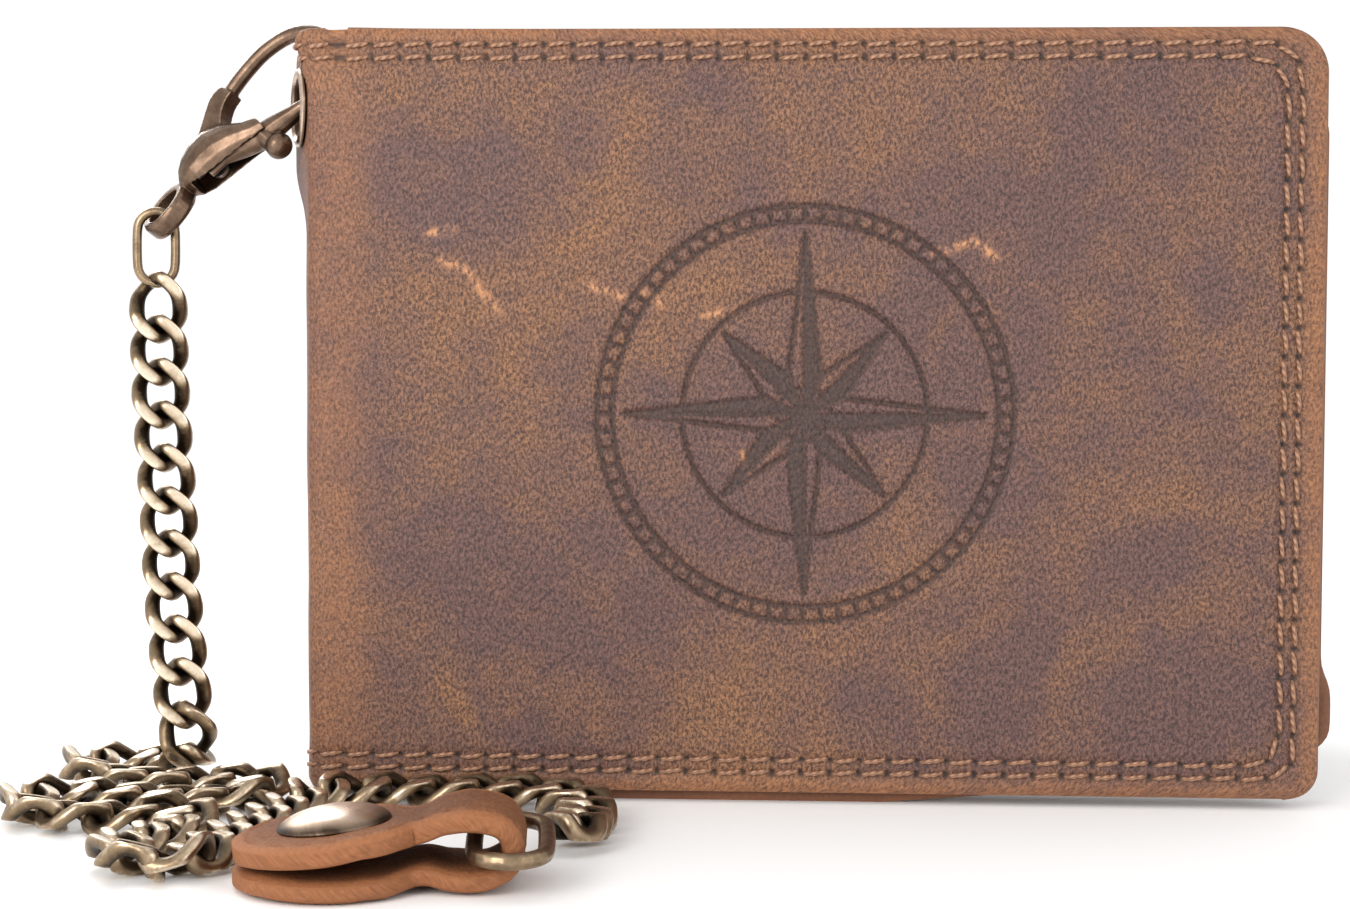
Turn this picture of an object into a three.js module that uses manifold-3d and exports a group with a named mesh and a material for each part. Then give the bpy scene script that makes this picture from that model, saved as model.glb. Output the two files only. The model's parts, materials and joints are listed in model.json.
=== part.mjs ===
// A chain wallet: a bifold leather wallet standing slightly open, a lobster clasp through the eyelet
// in its spine, a curb chain, and the snap tab on the chain's far end.
// Millimetres, +Z up, the front cover faces -Y. The origin is the middle of the edge it stands on.
import * as THREE from 'three';
import Module from 'manifold-3d';
import { mergeVertices } from 'three/addons/utils/BufferGeometryUtils.js';

const wasm = await Module();
wasm.setup();

// ---- driving dimensions ----
const coverWidth = 125;
const coverHeight = 95;
const coverThickness = 1.8;
const closedThickness = 20;
const openAngle = THREE.MathUtils.degToRad(24);
const topCornerRadius = 5.5;
const bottomCornerRadius = 3.5;
const liningThickness = 1.0;
const pocketThickness = 0.8;
const layerGap = 0.3;
const coverLift = 1.4;
const spineThickness = 1.5;
const eyeletOuterRadius = 5.0;
const eyeletBoreRadius = 3.6;
const eyeletHeight = 86.0;
const chainWireWidth = 3.2;
const tabWidth = 21;
const tabWaist = 12;
const tabStrap = 2.2;
const tabSlope = 0.108;
const tabSeat = 4.1;

// ---- places that follow from them ----
const right = coverWidth / 2;
const frontFace = -coverThickness - layerGap - liningThickness / 2;
const frontInner = frontFace + coverThickness;
const backOuter = frontFace + closedThickness;
const backInner = backOuter - coverThickness;
const foldHinge = new THREE.Vector2(-right - 1.7, backInner + 0.3);
const leafHinge = new THREE.Vector2(-right + 0.6, 5.5);

// ---- materials ----
function material(name, color, roughness, metalness = 0) {
  return new THREE.MeshStandardMaterial({ name, color, roughness, metalness });
}
const leather = material('leather', 0x86665f, 0.62);
const lining = material('lining', 0x7a5238, 0.75);
const tabLeather = material('tab_leather', 0x96603f, 0.7);
const brass = material('antique_brass', 0x8a755c, 0.38, 1);
const chainBrass = material('chain_brass', 0xa89878, 0.3, 1);
const steel = material('spring_steel', 0x8d8d8a, 0.35, 1);
const clear = material('clear_window', 0xdfe6e8, 0.1);

// ---- helpers ----
const group = new THREE.Group();
const backGroup = new THREE.Group();
group.add(backGroup);

function place(name, geometry, surface, parent = group) {
  const mesh = new THREE.Mesh(geometry, surface);
  mesh.name = name;
  parent.add(mesh);
  return mesh;
}

function toSolid(geometry) {
  const bare = geometry.index ? geometry.clone() : geometry;
  bare.deleteAttribute('normal');
  bare.deleteAttribute('uv');
  const merged = mergeVertices(bare, 1e-4);
  const mesh = new wasm.Mesh({
    numProp: 3,
    vertProperties: new Float32Array(merged.attributes.position.array),
    triVerts: new Uint32Array(merged.index.array),
  });
  return new wasm.Manifold(mesh);
}

function toGeometry(solid) {
  const mesh = solid.getMesh();
  const geometry = new THREE.BufferGeometry();
  geometry.setAttribute('position', new THREE.BufferAttribute(new Float32Array(mesh.vertProperties), 3));
  geometry.setIndex(new THREE.BufferAttribute(new Uint32Array(mesh.triVerts), 1));
  geometry.computeVertexNormals();
  return geometry;
}

// an outline drawn in X and Z, made into a sheet between two Y values
function sheet(outline, y0, y1, curveSegments = 6) {
  const geometry = new THREE.ExtrudeGeometry(outline, { depth: y1 - y0, bevelEnabled: false, curveSegments });
  geometry.rotateX(Math.PI / 2);
  geometry.translate(0, y1, 0);
  return geometry;
}

// an outline drawn in X and Y, made into a wall between two Z values
function wall(outline, z0, z1, curveSegments = 6) {
  const geometry = new THREE.ExtrudeGeometry(outline, { depth: z1 - z0, bevelEnabled: false, curveSegments });
  geometry.translate(0, 0, z0);
  return geometry;
}

function roundedOutline(x0, x1, z0, z1, corners) {
  const { tl = 0, tr = 0, br = 0, bl = 0 } = corners;
  const outline = new THREE.Shape();
  outline.moveTo(x0 + bl, z0);
  outline.lineTo(x1 - br, z0);
  if (br) outline.absarc(x1 - br, z0 + br, br, -Math.PI / 2, 0);
  outline.lineTo(x1, z1 - tr);
  if (tr) outline.absarc(x1 - tr, z1 - tr, tr, 0, Math.PI / 2);
  outline.lineTo(x0 + tl, z1);
  if (tl) outline.absarc(x0 + tl, z1 - tl, tl, Math.PI / 2, Math.PI);
  outline.lineTo(x0, z0 + bl);
  if (bl) outline.absarc(x0 + bl, z0 + bl, bl, Math.PI, 1.5 * Math.PI);
  return outline;
}

function circleHole(x, z, radius) {
  const hole = new THREE.Path();
  hole.absarc(x, z, radius, 0, 2 * Math.PI);
  return hole;
}

function box(x0, x1, y0, y1, z0, z1) {
  const geometry = new THREE.BoxGeometry(x1 - x0, y1 - y0, z1 - z0);
  geometry.translate((x0 + x1) / 2, (y0 + y1) / 2, (z0 + z1) / 2);
  return geometry;
}

// a turned piece on the Y axis: profile points are [radius, y]
function turned(profile, segments = 28) {
  const points = profile.map(([radius, y]) => new THREE.Vector2(radius, y));
  return new THREE.LatheGeometry(points, segments);
}

function rod(points, radius, sides, steps, closed = false) {
  const section = new THREE.Shape();
  section.absarc(0, 0, radius, 0, 2 * Math.PI);
  const path = new THREE.CatmullRomCurve3(points.map((p) => new THREE.Vector3(...p)), closed);
  const settings = { extrudePath: path, steps, curveSegments: sides / 2, bevelEnabled: false };
  return new THREE.ExtrudeGeometry(section, settings);
}

// ---- front cover and the pockets sewn to it ----
function makeFront() {
  const cover = roundedOutline(-right + 5.2, right, coverLift, coverHeight, {
    tr: topCornerRadius,
    br: bottomCornerRadius,
  });
  place('front_cover', sheet(cover, frontFace, frontInner), leather);

  const liningOutline = new THREE.Shape();
  liningOutline.moveTo(-right + 6.5, 1.6);
  liningOutline.lineTo(-34, 1.6);
  liningOutline.lineTo(-28, 0);
  liningOutline.lineTo(10, 0);
  liningOutline.lineTo(30, 1.6);
  liningOutline.lineTo(right - 1, 1.6);
  liningOutline.lineTo(right - 1, coverHeight - 2);
  liningOutline.lineTo(-right + 6.5, coverHeight - 2);
  liningOutline.closePath();
  const half = liningThickness / 2;
  place('front_lining', sheet(liningOutline, -half, half), lining);

  for (let i = 0; i < 3; i += 1) {
    const y0 = half + layerGap + i * (pocketThickness + layerGap);
    const outline = roundedOutline(-right + 9, right - 1, 3, 76 - 15 * i, { tl: 3, tr: 3 });
    place(`card_pocket_${i + 1}`, sheet(outline, y0, y0 + pocketThickness), lining);
  }
}

// ---- spine: front fold, the facet that carries the eyelet, and the back wall ----
const facetNormal = new THREE.Vector2(-0.94, -0.34).normalize();
const facetAlong = new THREE.Vector2(facetNormal.y, -facetNormal.x);
const facetStart = new THREE.Vector2(-right + 1.1, frontFace + 1.3);
const facetLength = 10.4;
const facetEnd = facetStart.clone().addScaledVector(facetAlong, facetLength);
const eyeletCentre = facetStart.clone().addScaledVector(facetAlong, facetLength / 2);

function spineOutline() {
  const inner = facetNormal.clone().multiplyScalar(-spineThickness);
  const outline = new THREE.Shape();
  outline.moveTo(-right + 4.9, frontFace);
  outline.quadraticCurveTo(-right + 1.9, frontFace, facetStart.x, facetStart.y);
  outline.lineTo(facetEnd.x, facetEnd.y);
  outline.quadraticCurveTo(foldHinge.x - 1, facetEnd.y + 2, foldHinge.x - 0.9, foldHinge.y - 1.2);
  outline.lineTo(foldHinge.x + 0.6, foldHinge.y - 1.2);
  outline.quadraticCurveTo(foldHinge.x + 0.5, facetEnd.y + 1.5, facetEnd.x + inner.x, facetEnd.y + inner.y);
  outline.lineTo(facetStart.x + inner.x, facetStart.y + inner.y + 0.2);
  outline.quadraticCurveTo(-right + 3, frontFace + spineThickness, -right + 4.9, frontFace + spineThickness);
  outline.closePath();
  return outline;
}

// carries a piece turned about the Y axis to the eyelet, with its axis along the facet's normal
function toEyelet(geometry) {
  geometry.rotateZ(Math.atan2(facetNormal.y, facetNormal.x) - Math.PI / 2);
  geometry.translate(eyeletCentre.x, eyeletCentre.y, eyeletHeight);
  return geometry;
}

function makeSpine() {
  let spine = toSolid(wall(spineOutline(), 0.5, coverHeight - 0.4, 8));
  const bore = turned([[0, -4], [eyeletBoreRadius + 0.9, -4], [eyeletBoreRadius + 0.9, 4], [0, 4]]);
  spine = spine.subtract(toSolid(toEyelet(bore)));
  const dip = new THREE.CylinderGeometry(5, 5, 14, 28);
  dip.rotateZ(Math.PI / 2);
  dip.translate(-right, 3.2, coverHeight + 2.4);
  spine = spine.subtract(toSolid(dip));
  place('spine', toGeometry(spine), leather);

  const barrel = eyeletBoreRadius + 0.6;
  const eyelet = turned([
    [eyeletBoreRadius, -1.9],
    [barrel, -1.9],
    [barrel, 0.3],
    [eyeletOuterRadius, 0.3],
    [eyeletOuterRadius, 0.6],
    [eyeletOuterRadius - 0.6, 1.0],
    [eyeletBoreRadius + 0.4, 0.9],
    [eyeletBoreRadius, 0.4],
    [eyeletBoreRadius, -1.9],
  ]);
  place('eyelet', toEyelet(eyelet), brass);
  const washer = turned([
    [barrel + 0.25, -2.2],
    [eyeletOuterRadius, -2.2],
    [eyeletOuterRadius, -1.8],
    [barrel + 0.25, -1.8],
    [barrel + 0.25, -2.2],
  ]);
  place('eyelet_washer', toEyelet(washer), brass);
}

// ---- back cover and what is sewn to it, drawn closed and then opened about the fold ----
const coinLeft = -22;
const coinRight = 57;
const coinBottom = 8;
const coinTop = 64;
const coinFlapEdge = 50;
const coinSnap = new THREE.Vector2((coinLeft + coinRight) / 2, 56);
const backLiningY = backInner - layerGap - liningThickness;
const coinFrontY = backLiningY - 5.3;
const coinHingeZ = 68;

function makeBack() {
  const cover = roundedOutline(foldHinge.x + 0.7, right, 0, coverHeight, {
    tr: topCornerRadius,
    br: bottomCornerRadius,
  });
  place('back_cover', sheet(cover, backInner, backOuter), leather, backGroup);
  const inside = roundedOutline(-right + 6, right - 1.2, 1.5, 89, {});
  place('back_lining', sheet(inside, backLiningY, backLiningY + liningThickness), lining, backGroup);

  const front = roundedOutline(coinLeft, coinRight, coinBottom, coinTop, { bl: 3, br: 3 });
  front.holes.push(circleHole(coinSnap.x, coinSnap.y, 1.7));
  place('coin_pocket_front', sheet(front, coinFrontY, coinFrontY + 0.9), lining, backGroup);
  const y0 = coinFrontY + 1.2;
  const y1 = backLiningY - layerGap;
  const sideBottom = coinBottom + 4;
  const leftGusset = box(coinLeft + 0.5, coinLeft + 1.7, y0, y1, sideBottom, coinTop);
  const rightGusset = box(coinRight - 1.7, coinRight - 0.5, y0, y1, sideBottom, coinTop);
  place('coin_gusset_left', leftGusset, lining, backGroup);
  place('coin_gusset_right', rightGusset, lining, backGroup);
  const bottom = box(coinLeft + 2.2, coinRight - 2.2, y0, y1, coinBottom + 1, coinBottom + 2.2);
  place('coin_gusset_bottom', bottom, lining, backGroup);
  makeCoinFlap(y1);
}

function makeCoinFlap(rootY) {
  const flapY = coinFrontY - 1.3;
  const panel = roundedOutline(coinLeft, coinRight, coinFlapEdge, coinHingeZ, { bl: 5, br: 5 });
  panel.holes.push(circleHole(coinSnap.x, coinSnap.y, 2.3));
  const face = toSolid(sheet(panel, flapY, flapY + 1));
  const top = toSolid(box(coinLeft, coinRight, flapY, rootY, coinHingeZ - 1, coinHingeZ));
  place('coin_flap', toGeometry(face.add(top)), lining, backGroup);

  const capProfile = [[0, 1.0], [1.9, 1.0], [1.9, -0.25], [4.6, -0.25], [4.3, -0.7], [2.4, -1.0], [0, -1.05]];
  const cap = turned(capProfile.reverse());
  cap.translate(coinSnap.x, flapY, coinSnap.y);
  place('coin_snap_cap', cap, brass, backGroup);
  const stud = turned([[0, 2.0], [2.8, 2.0], [2.8, 1.2], [1.4, 1.2], [1.4, 0.1], [0, 0.1]].reverse());
  stud.translate(coinSnap.x, coinFrontY, coinSnap.y);
  place('coin_snap_stud', stud, brass, backGroup);
}

// ---- the leaf between the covers ----
function makeLeaf() {
  const leafY = 4.7;
  const leafRight = right + 1.9;
  const leafLeft = leafHinge.x + 0.7;
  const outline = new THREE.Shape();
  outline.moveTo(leafLeft, 5.5);
  outline.lineTo(leafRight - 1, 5.5);
  outline.quadraticCurveTo(leafRight + 1.4, 6, leafRight + 1.2, 11);
  outline.quadraticCurveTo(leafRight + 1.1, 15.5, leafRight, 17.5);
  outline.lineTo(leafRight, 83);
  outline.absarc(leafRight - 3, 83, 3, 0, Math.PI / 2);
  outline.lineTo(leafLeft, 86);
  outline.closePath();
  const window = new THREE.Path();
  window.moveTo(-8, 16);
  window.lineTo(50, 16);
  window.lineTo(50, 74);
  window.lineTo(-8, 74);
  window.closePath();
  outline.holes.push(window);
  place('leaf_panel', sheet(outline, leafY, leafY + 1.5), lining);
  place('id_window', box(-7.6, 49.6, leafY + 0.5, leafY + 0.9, 16.4, 73.6), clear);
  for (let i = 0; i < 2; i += 1) {
    const outlinePocket = roundedOutline(-52, -12, 8, 62 - 18 * i, { tl: 3, tr: 3 });
    const y0 = leafY + 1.5 + layerGap + i * 0.9;
    place(`leaf_pocket_${i + 1}`, sheet(outlinePocket, y0, y0 + 0.6), lining);
  }
}

// ---- lobster clasp, drawn in its own axes: x from the eye to the bow, y to the gate side ----
const claspEye = new THREE.Vector3(-80.55, 5.365, 73.14);
const claspAlong = new THREE.Vector3(0.649, 0.035, 0.761).normalize();
const claspGateSide = new THREE.Vector3(0.66, -0.47, -0.585);
claspGateSide.addScaledVector(claspAlong, -claspGateSide.dot(claspAlong)).normalize();
const claspAcross = new THREE.Vector3().crossVectors(claspAlong, claspGateSide);
const claspMatrix = new THREE.Matrix4().makeBasis(claspAlong, claspGateSide, claspAcross);
claspMatrix.setPosition(claspEye);
const gatePivot = [8.2, 0.6];
const channelSlope = 0.2;

function inClasp(geometry) {
  geometry.applyMatrix4(claspMatrix);
  return geometry;
}

// a rod whose section is an ellipse that changes along x: stations are [x, yCentre, yHalf, zHalf]
function lofted(stations, sides = 16) {
  const positions = [];
  for (const [x, yCentre, yHalf, zHalf] of stations) {
    for (let k = 0; k < sides; k += 1) {
      const angle = (2 * Math.PI * (k + 0.5)) / sides;
      positions.push(x, yCentre + yHalf * Math.cos(angle), zHalf * Math.sin(angle));
    }
  }
  const index = [];
  const last = stations.length - 1;
  for (let i = 0; i < last; i += 1) {
    for (let k = 0; k < sides; k += 1) {
      const a = i * sides + k;
      const b = i * sides + ((k + 1) % sides);
      index.push(a, b, b + sides, a, b + sides, a + sides);
    }
  }
  const ends = [positions.length / 3, positions.length / 3 + 1];
  positions.push(stations[0][0], stations[0][1], 0, stations[last][0], stations[last][1], 0);
  for (let k = 0; k < sides; k += 1) {
    const next = (k + 1) % sides;
    index.push(ends[0], next, k, ends[1], last * sides + k, last * sides + next);
  }
  const geometry = new THREE.BufferGeometry();
  geometry.setAttribute('position', new THREE.Float32BufferAttribute(positions, 3));
  geometry.setIndex(index);
  return geometry;
}

function makeClasp() {
  const eye = new THREE.LatheGeometry(
    [[2.6, -1.2], [3.5, -1.3], [3.8, -0.8], [3.8, 0.8], [3.5, 1.3], [2.6, 1.2], [2.6, -1.2]].map(
      ([r, y]) => new THREE.Vector2(r, y),
    ),
    28,
  );
  eye.rotateX(THREE.MathUtils.degToRad(90 - 35));
  const shell = lofted([
    [3.6, -0.2, 1.3, 1.5],
    [4.6, -0.3, 2.3, 2.3],
    [6.0, -0.4, 3.0, 2.8],
    [8.0, -0.4, 3.5, 3.0],
    [10.2, 0.0, 3.7, 3.0],
    [12.4, 1.0, 3.4, 2.7],
    [14.4, 2.5, 2.5, 2.4],
    [16.2, 3.3, 2.1, 2.1],
  ]);
  const horn = new THREE.Shape();
  horn.moveTo(8, -2.6);
  horn.lineTo(13.4, -5.7);
  horn.quadraticCurveTo(15, -6.4, 16.2, -5.8);
  horn.lineTo(16.6, -4.0);
  horn.quadraticCurveTo(14.2, -4.0, 12.6, -1.8);
  horn.lineTo(9, -1.6);
  horn.closePath();
  const hornSolid = new THREE.ExtrudeGeometry(horn, { depth: 2.6, bevelEnabled: false, curveSegments: 5 });
  hornSolid.translate(0, 0, -1.3);
  const bow = rod(
    [
      [15.2, -4.9, 0],
      [19.4, -5.3, 0],
      [23.5, -5, 0],
      [27.4, -3.2, 0],
      [29.4, 0.2, 0],
      [29.1, 3.9, 0],
      [27.0, 6.5, 0],
      [25.3, 6.9, 0],
    ],
    1.0,
    12,
    26,
  );
  const channel = box(0, 15, 0, 9, -1.75, 1.75);
  channel.rotateZ(channelSlope);
  channel.translate(5.2, -1.35, 0);
  const pinHole = new THREE.CylinderGeometry(0.7, 0.7, 5.0, 16);
  pinHole.rotateX(Math.PI / 2);
  pinHole.translate(gatePivot[0], gatePivot[1], 0);
  let body = toSolid(shell).subtract(toSolid(channel)).subtract(toSolid(pinHole));
  const eyeBore = new THREE.CylinderGeometry(2.6, 2.6, 5, 28);
  eyeBore.rotateX(THREE.MathUtils.degToRad(90 - 35));
  body = body.add(toSolid(hornSolid)).add(toSolid(bow)).subtract(toSolid(channel));
  body = body.add(toSolid(eye)).subtract(toSolid(eyeBore));
  place('clasp_body', inClasp(toGeometry(body)), brass);

  const pin = new THREE.CylinderGeometry(0.6, 0.6, 4.8, 16);
  pin.rotateX(Math.PI / 2);
  pin.translate(gatePivot[0], gatePivot[1], 0);
  place('gate_pin', inClasp(pin), brass);

  const spring = turned([[0.8, 0.95], [1.25, 0.95], [1.25, 1.55], [0.8, 1.55], [0.8, 0.95]], 20);
  spring.rotateX(Math.PI / 2);
  spring.translate(gatePivot[0], gatePivot[1], 0);
  place('gate_spring', inClasp(spring), steel);
  makeGate();
}

function makeGate() {
  const arm = lofted([
    [7.0, 0.7, 1.0, 0.7],
    [9.4, 1.0, 1.1, 0.7],
    [11.8, 2.2, 1.5, 1.4],
    [14.4, 3.4, 1.9, 1.5],
    [17.2, 4.2, 1.6, 1.45],
    [20, 5.1, 1.1, 1.1],
    [23.8, 6.4, 0.7, 0.8],
  ], 12);
  const knob = new THREE.SphereGeometry(1.6, 16, 10);
  knob.scale(1.1, 0.9, 1.15);
  knob.translate(15.5, 6.7, 0);
  const neck = new THREE.CylinderGeometry(1.15, 1.7, 3.4, 12);
  neck.translate(15.2, 5.0, 0);
  const bore = new THREE.CylinderGeometry(0.7, 0.7, 4, 16);
  bore.rotateX(Math.PI / 2);
  bore.translate(gatePivot[0], gatePivot[1], 0);
  const gate = toSolid(arm).add(toSolid(neck)).add(toSolid(knob)).subtract(toSolid(bore));
  place('clasp_gate', inClasp(toGeometry(gate)), brass);
}

// ---- chain ----
const chainTop = new THREE.Vector3(-81.9, 4.6, 61.4);

function ovalLink(halfLength, halfWidth, wire, segments) {
  const points = [];
  const straight = halfLength - halfWidth;
  const arc = segments / 2;
  for (let k = 0; k < segments; k += 1) {
    const end = k < arc ? 1 : -1;
    const angle = Math.PI * ((k % arc) / (arc - 1)) - (end > 0 ? Math.PI / 2 : -Math.PI / 2);
    points.push([end * straight + halfWidth * Math.cos(angle), halfWidth * Math.sin(angle), 0]);
  }
  return rod(points, wire, 8, segments * 2, true);
}

function makeLink() {
  const link = ovalLink(4.55, 2.35, 0.62, 20);
  link.rotateY(Math.PI / 2);
  link.rotateZ(Math.PI / 2);
  link.rotateZ(0.1);
  link.translate(-82.15, 4.7, 68.55);
  place('clasp_link', link, chainBrass);
}

const hangingRoute = [
  [chainTop.x, chainTop.y, chainTop.z],
  [-81.6, 4.4, 50],
  [-80.7, 4.0, 37],
  [-79.9, 3.5, 24],
  [-78.6, 2.4, 13],
];
const floorRoute = [
  [-77.6, 1.6, 7.6],
  [-78.4, 4.2, 3.4],
  [-82, 8.4, 2.0],
  [-87, 9.4, 1.8],
  [-91.4, 6.4, 1.8],
  [-90.4, 1.2, 1.8],
  [-85, -2.2, 1.8],
  [-78.5, -4.2, 1.8],
  [-71.6, -4.4, 1.8],
  [-66.6, -7.2, 1.8],
  [-66, -12.4, 1.8],
  [-71, -15, 1.8],
  [-78, -14.6, 1.8],
  [-85, -14, 1.8],
  [-90.6, -16.4, 1.8],
  [-91, -21.8, 1.8],
  [-86, -25.2, 1.8],
  [-79.4, -25.6, 1.8],
  [-73.6, -25, 1.8],
  [-69.8, -28.4, 1.8],
  [-70.4, -34, 1.8],
  [-72.8, -39.6, 1.8],
  [-72.6, -46, 1.8],
  [-68.6, -50.6, 1.8],
  [-64.8, -48.2, 1.8],
  [-64, -42, 1.8],
  [-62.8, -34, 1.8],
  [-61.4, -26, 1.8],
  [-60, -18, 1.8],
  [-57.6, -10.6, 1.8],
  [-52, -7.2, 1.8],
  [-45, -6.6, 1.8],
  [-37.4, -6.8, 1.8],
  [-30.6, -8.8, 1.8],
  [-26.2, -14, 1.8],
  [-25, -21, 1.8],
  [-25.2, -28, 2.2],
  [-25.4, -34, 3.2],
];

function makeChain() {
  const radius = chainWireWidth / 2;
  const lower = [hangingRoute[4], floorRoute[0]];
  const gapPoint = lower[0].map((value, i) => value + (lower[1][i] - value) * 0.12);
  place('chain_hanging', rod(hangingRoute, radius, 8, 9), chainBrass);
  place('chain_pile', rod([gapPoint, ...floorRoute], radius, 8, 74), chainBrass);
}

// ---- belt tab: s runs from the snap to the loop ----
const tabGroup = new THREE.Group();
tabGroup.position.set(-48.8, -49.5, 0);
tabGroup.rotation.z = THREE.MathUtils.degToRad(6);
group.add(tabGroup);

function tabPlan() {
  const outline = new THREE.Shape();
  outline.moveTo(6, -tabWidth / 2 + 1.6);
  outline.quadraticCurveTo(9, -tabWaist / 2, 12, -tabWaist / 2);
  outline.lineTo(24, -tabWaist / 2);
  outline.lineTo(24, tabWaist / 2);
  outline.lineTo(12, tabWaist / 2);
  outline.quadraticCurveTo(9, tabWaist / 2, 6, tabWidth / 2 - 1.6);
  const shoulder = Math.atan2(tabWidth / 2 - 1.6, 6);
  outline.absarc(0, 0, tabWidth / 2, shoulder, 2 * Math.PI - shoulder);
  return toSolid(wall(outline, -2, 12, 12));
}

function strapFrom(profile) {
  return toSolid(sheet(profile, -13, 13, 8)).intersect(tabPlan());
}

function makeTab() {
  const lower = new THREE.Shape();
  lower.moveTo(-13, 0.1);
  lower.lineTo(6, 0.1);
  lower.quadraticCurveTo(9.6, 1.1, 12, 0.3);
  lower.quadraticCurveTo(20.0, -0.4, 19.8, 4.6);
  lower.quadraticCurveTo(19.6, 8.9, 14, 8.8);
  lower.quadraticCurveTo(11.2, 8.4, 9.6, 7.4);
  lower.lineTo(9.6, 5.2);
  lower.quadraticCurveTo(12.0, 6.6, 14, 6.6);
  lower.quadraticCurveTo(17.7, 6.7, 17.7, 4.6);
  lower.quadraticCurveTo(17.7, 2.2, 13.4, 2.5);
  lower.quadraticCurveTo(9.6, 3.4, 6, 0.1 + tabStrap);
  lower.lineTo(-13, 0.1 + tabStrap);
  lower.closePath();
  const snapHole = new THREE.CylinderGeometry(1.8, 1.8, 20, 24);
  snapHole.rotateX(Math.PI / 2);
  const lowerSolid = strapFrom(lower).subtract(toSolid(snapHole));
  place('tab_lower', toGeometry(lowerSolid), tabLeather, tabGroup);

  const upper = new THREE.Shape();
  upper.moveTo(-13, tabSeat - 13 * tabSlope);
  upper.lineTo(9.2, tabSeat + 9.2 * tabSlope);
  upper.lineTo(9.2, tabSeat + 9.2 * tabSlope + tabStrap);
  upper.lineTo(-13, tabSeat - 13 * tabSlope + tabStrap);
  upper.closePath();
  const upperHole = new THREE.CylinderGeometry(2.9, 2.9, 20, 24);
  upperHole.rotateX(Math.PI / 2);
  const upperSolid = strapFrom(upper).subtract(toSolid(upperHole));
  place('tab_upper', toGeometry(upperSolid), tabLeather, tabGroup);

  const flat = (profile) => turned(profile).rotateX(Math.PI / 2);
  const onStrap = (geometry) => geometry.rotateY(-Math.atan(tabSlope)).translate(0, 0, tabSeat);
  const capBase = tabStrap + 0.15;
  const cap = flat([
    [0, capBase],
    [5.9, capBase],
    [6.0, capBase + 0.4],
    [5.4, capBase + 1.1],
    [3.4, capBase + 1.8],
    [0, capBase + 2.1],
  ]);
  place('tab_snap_cap', onStrap(cap), brass, tabGroup);
  const socket = flat([[1.8, -0.6], [2.6, -0.6], [2.6, 1.9], [1.8, 1.9], [1.8, -0.6]]);
  place('tab_snap_socket', onStrap(socket), brass, tabGroup);
  const stud = flat([
    [0, 0.3],
    [1.5, 0.3],
    [1.5, 2.6],
    [2.5, 2.6],
    [2.5, 3.0],
    [1.3, 3.0],
    [1.2, 4.6],
    [0, 4.7],
  ]);
  place('tab_snap_stud', stud, brass, tabGroup);
}

function makeEndRing() {
  const ring = ovalLink(8.4, 3.7, 0.95, 24);
  ring.rotateZ(Math.PI / 2);
  ring.rotateX(0.06);
  ring.translate(18.4, -0.4, 4.6);
  place('end_ring', ring, chainBrass, tabGroup);
}

makeFront();
makeSpine();
makeBack();
makeLeaf();
makeClasp();
makeLink();
makeChain();
makeTab();
makeEndRing();

// open the back about the fold
backGroup.rotation.z = openAngle;
const turnedHinge = foldHinge.clone().rotateAround(new THREE.Vector2(0, 0), openAngle);
backGroup.position.set(foldHinge.x - turnedHinge.x, foldHinge.y - turnedHinge.y, 0);

export default group;
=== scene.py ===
"""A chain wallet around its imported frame: leather, thread, antiqued brass, chain and tab."""

import json
import math

import bmesh
import bpy
import numpy as np
from mathutils import Matrix, Vector


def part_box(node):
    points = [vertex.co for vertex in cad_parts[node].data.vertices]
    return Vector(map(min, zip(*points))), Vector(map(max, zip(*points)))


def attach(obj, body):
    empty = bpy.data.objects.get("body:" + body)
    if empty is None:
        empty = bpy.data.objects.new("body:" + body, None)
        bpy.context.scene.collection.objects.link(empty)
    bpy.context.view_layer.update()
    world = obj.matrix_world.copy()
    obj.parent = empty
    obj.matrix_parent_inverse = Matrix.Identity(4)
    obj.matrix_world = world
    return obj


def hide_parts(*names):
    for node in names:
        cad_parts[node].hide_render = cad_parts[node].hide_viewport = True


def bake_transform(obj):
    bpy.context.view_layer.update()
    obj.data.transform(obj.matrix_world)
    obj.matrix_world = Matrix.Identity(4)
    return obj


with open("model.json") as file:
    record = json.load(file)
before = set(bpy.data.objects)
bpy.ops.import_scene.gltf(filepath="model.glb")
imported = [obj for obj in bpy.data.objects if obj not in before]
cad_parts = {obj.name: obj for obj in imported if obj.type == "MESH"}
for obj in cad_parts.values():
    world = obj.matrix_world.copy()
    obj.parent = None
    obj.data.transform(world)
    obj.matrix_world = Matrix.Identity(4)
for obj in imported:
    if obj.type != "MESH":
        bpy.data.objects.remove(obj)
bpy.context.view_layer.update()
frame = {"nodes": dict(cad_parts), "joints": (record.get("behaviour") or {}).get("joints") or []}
MM = 0.001
TAU = 2 * math.pi

# ---- places, in millimetres, from the frame ----


def node_box(name):
    low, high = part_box(name)
    return np.array(low) / MM, np.array(high) / MM


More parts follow.
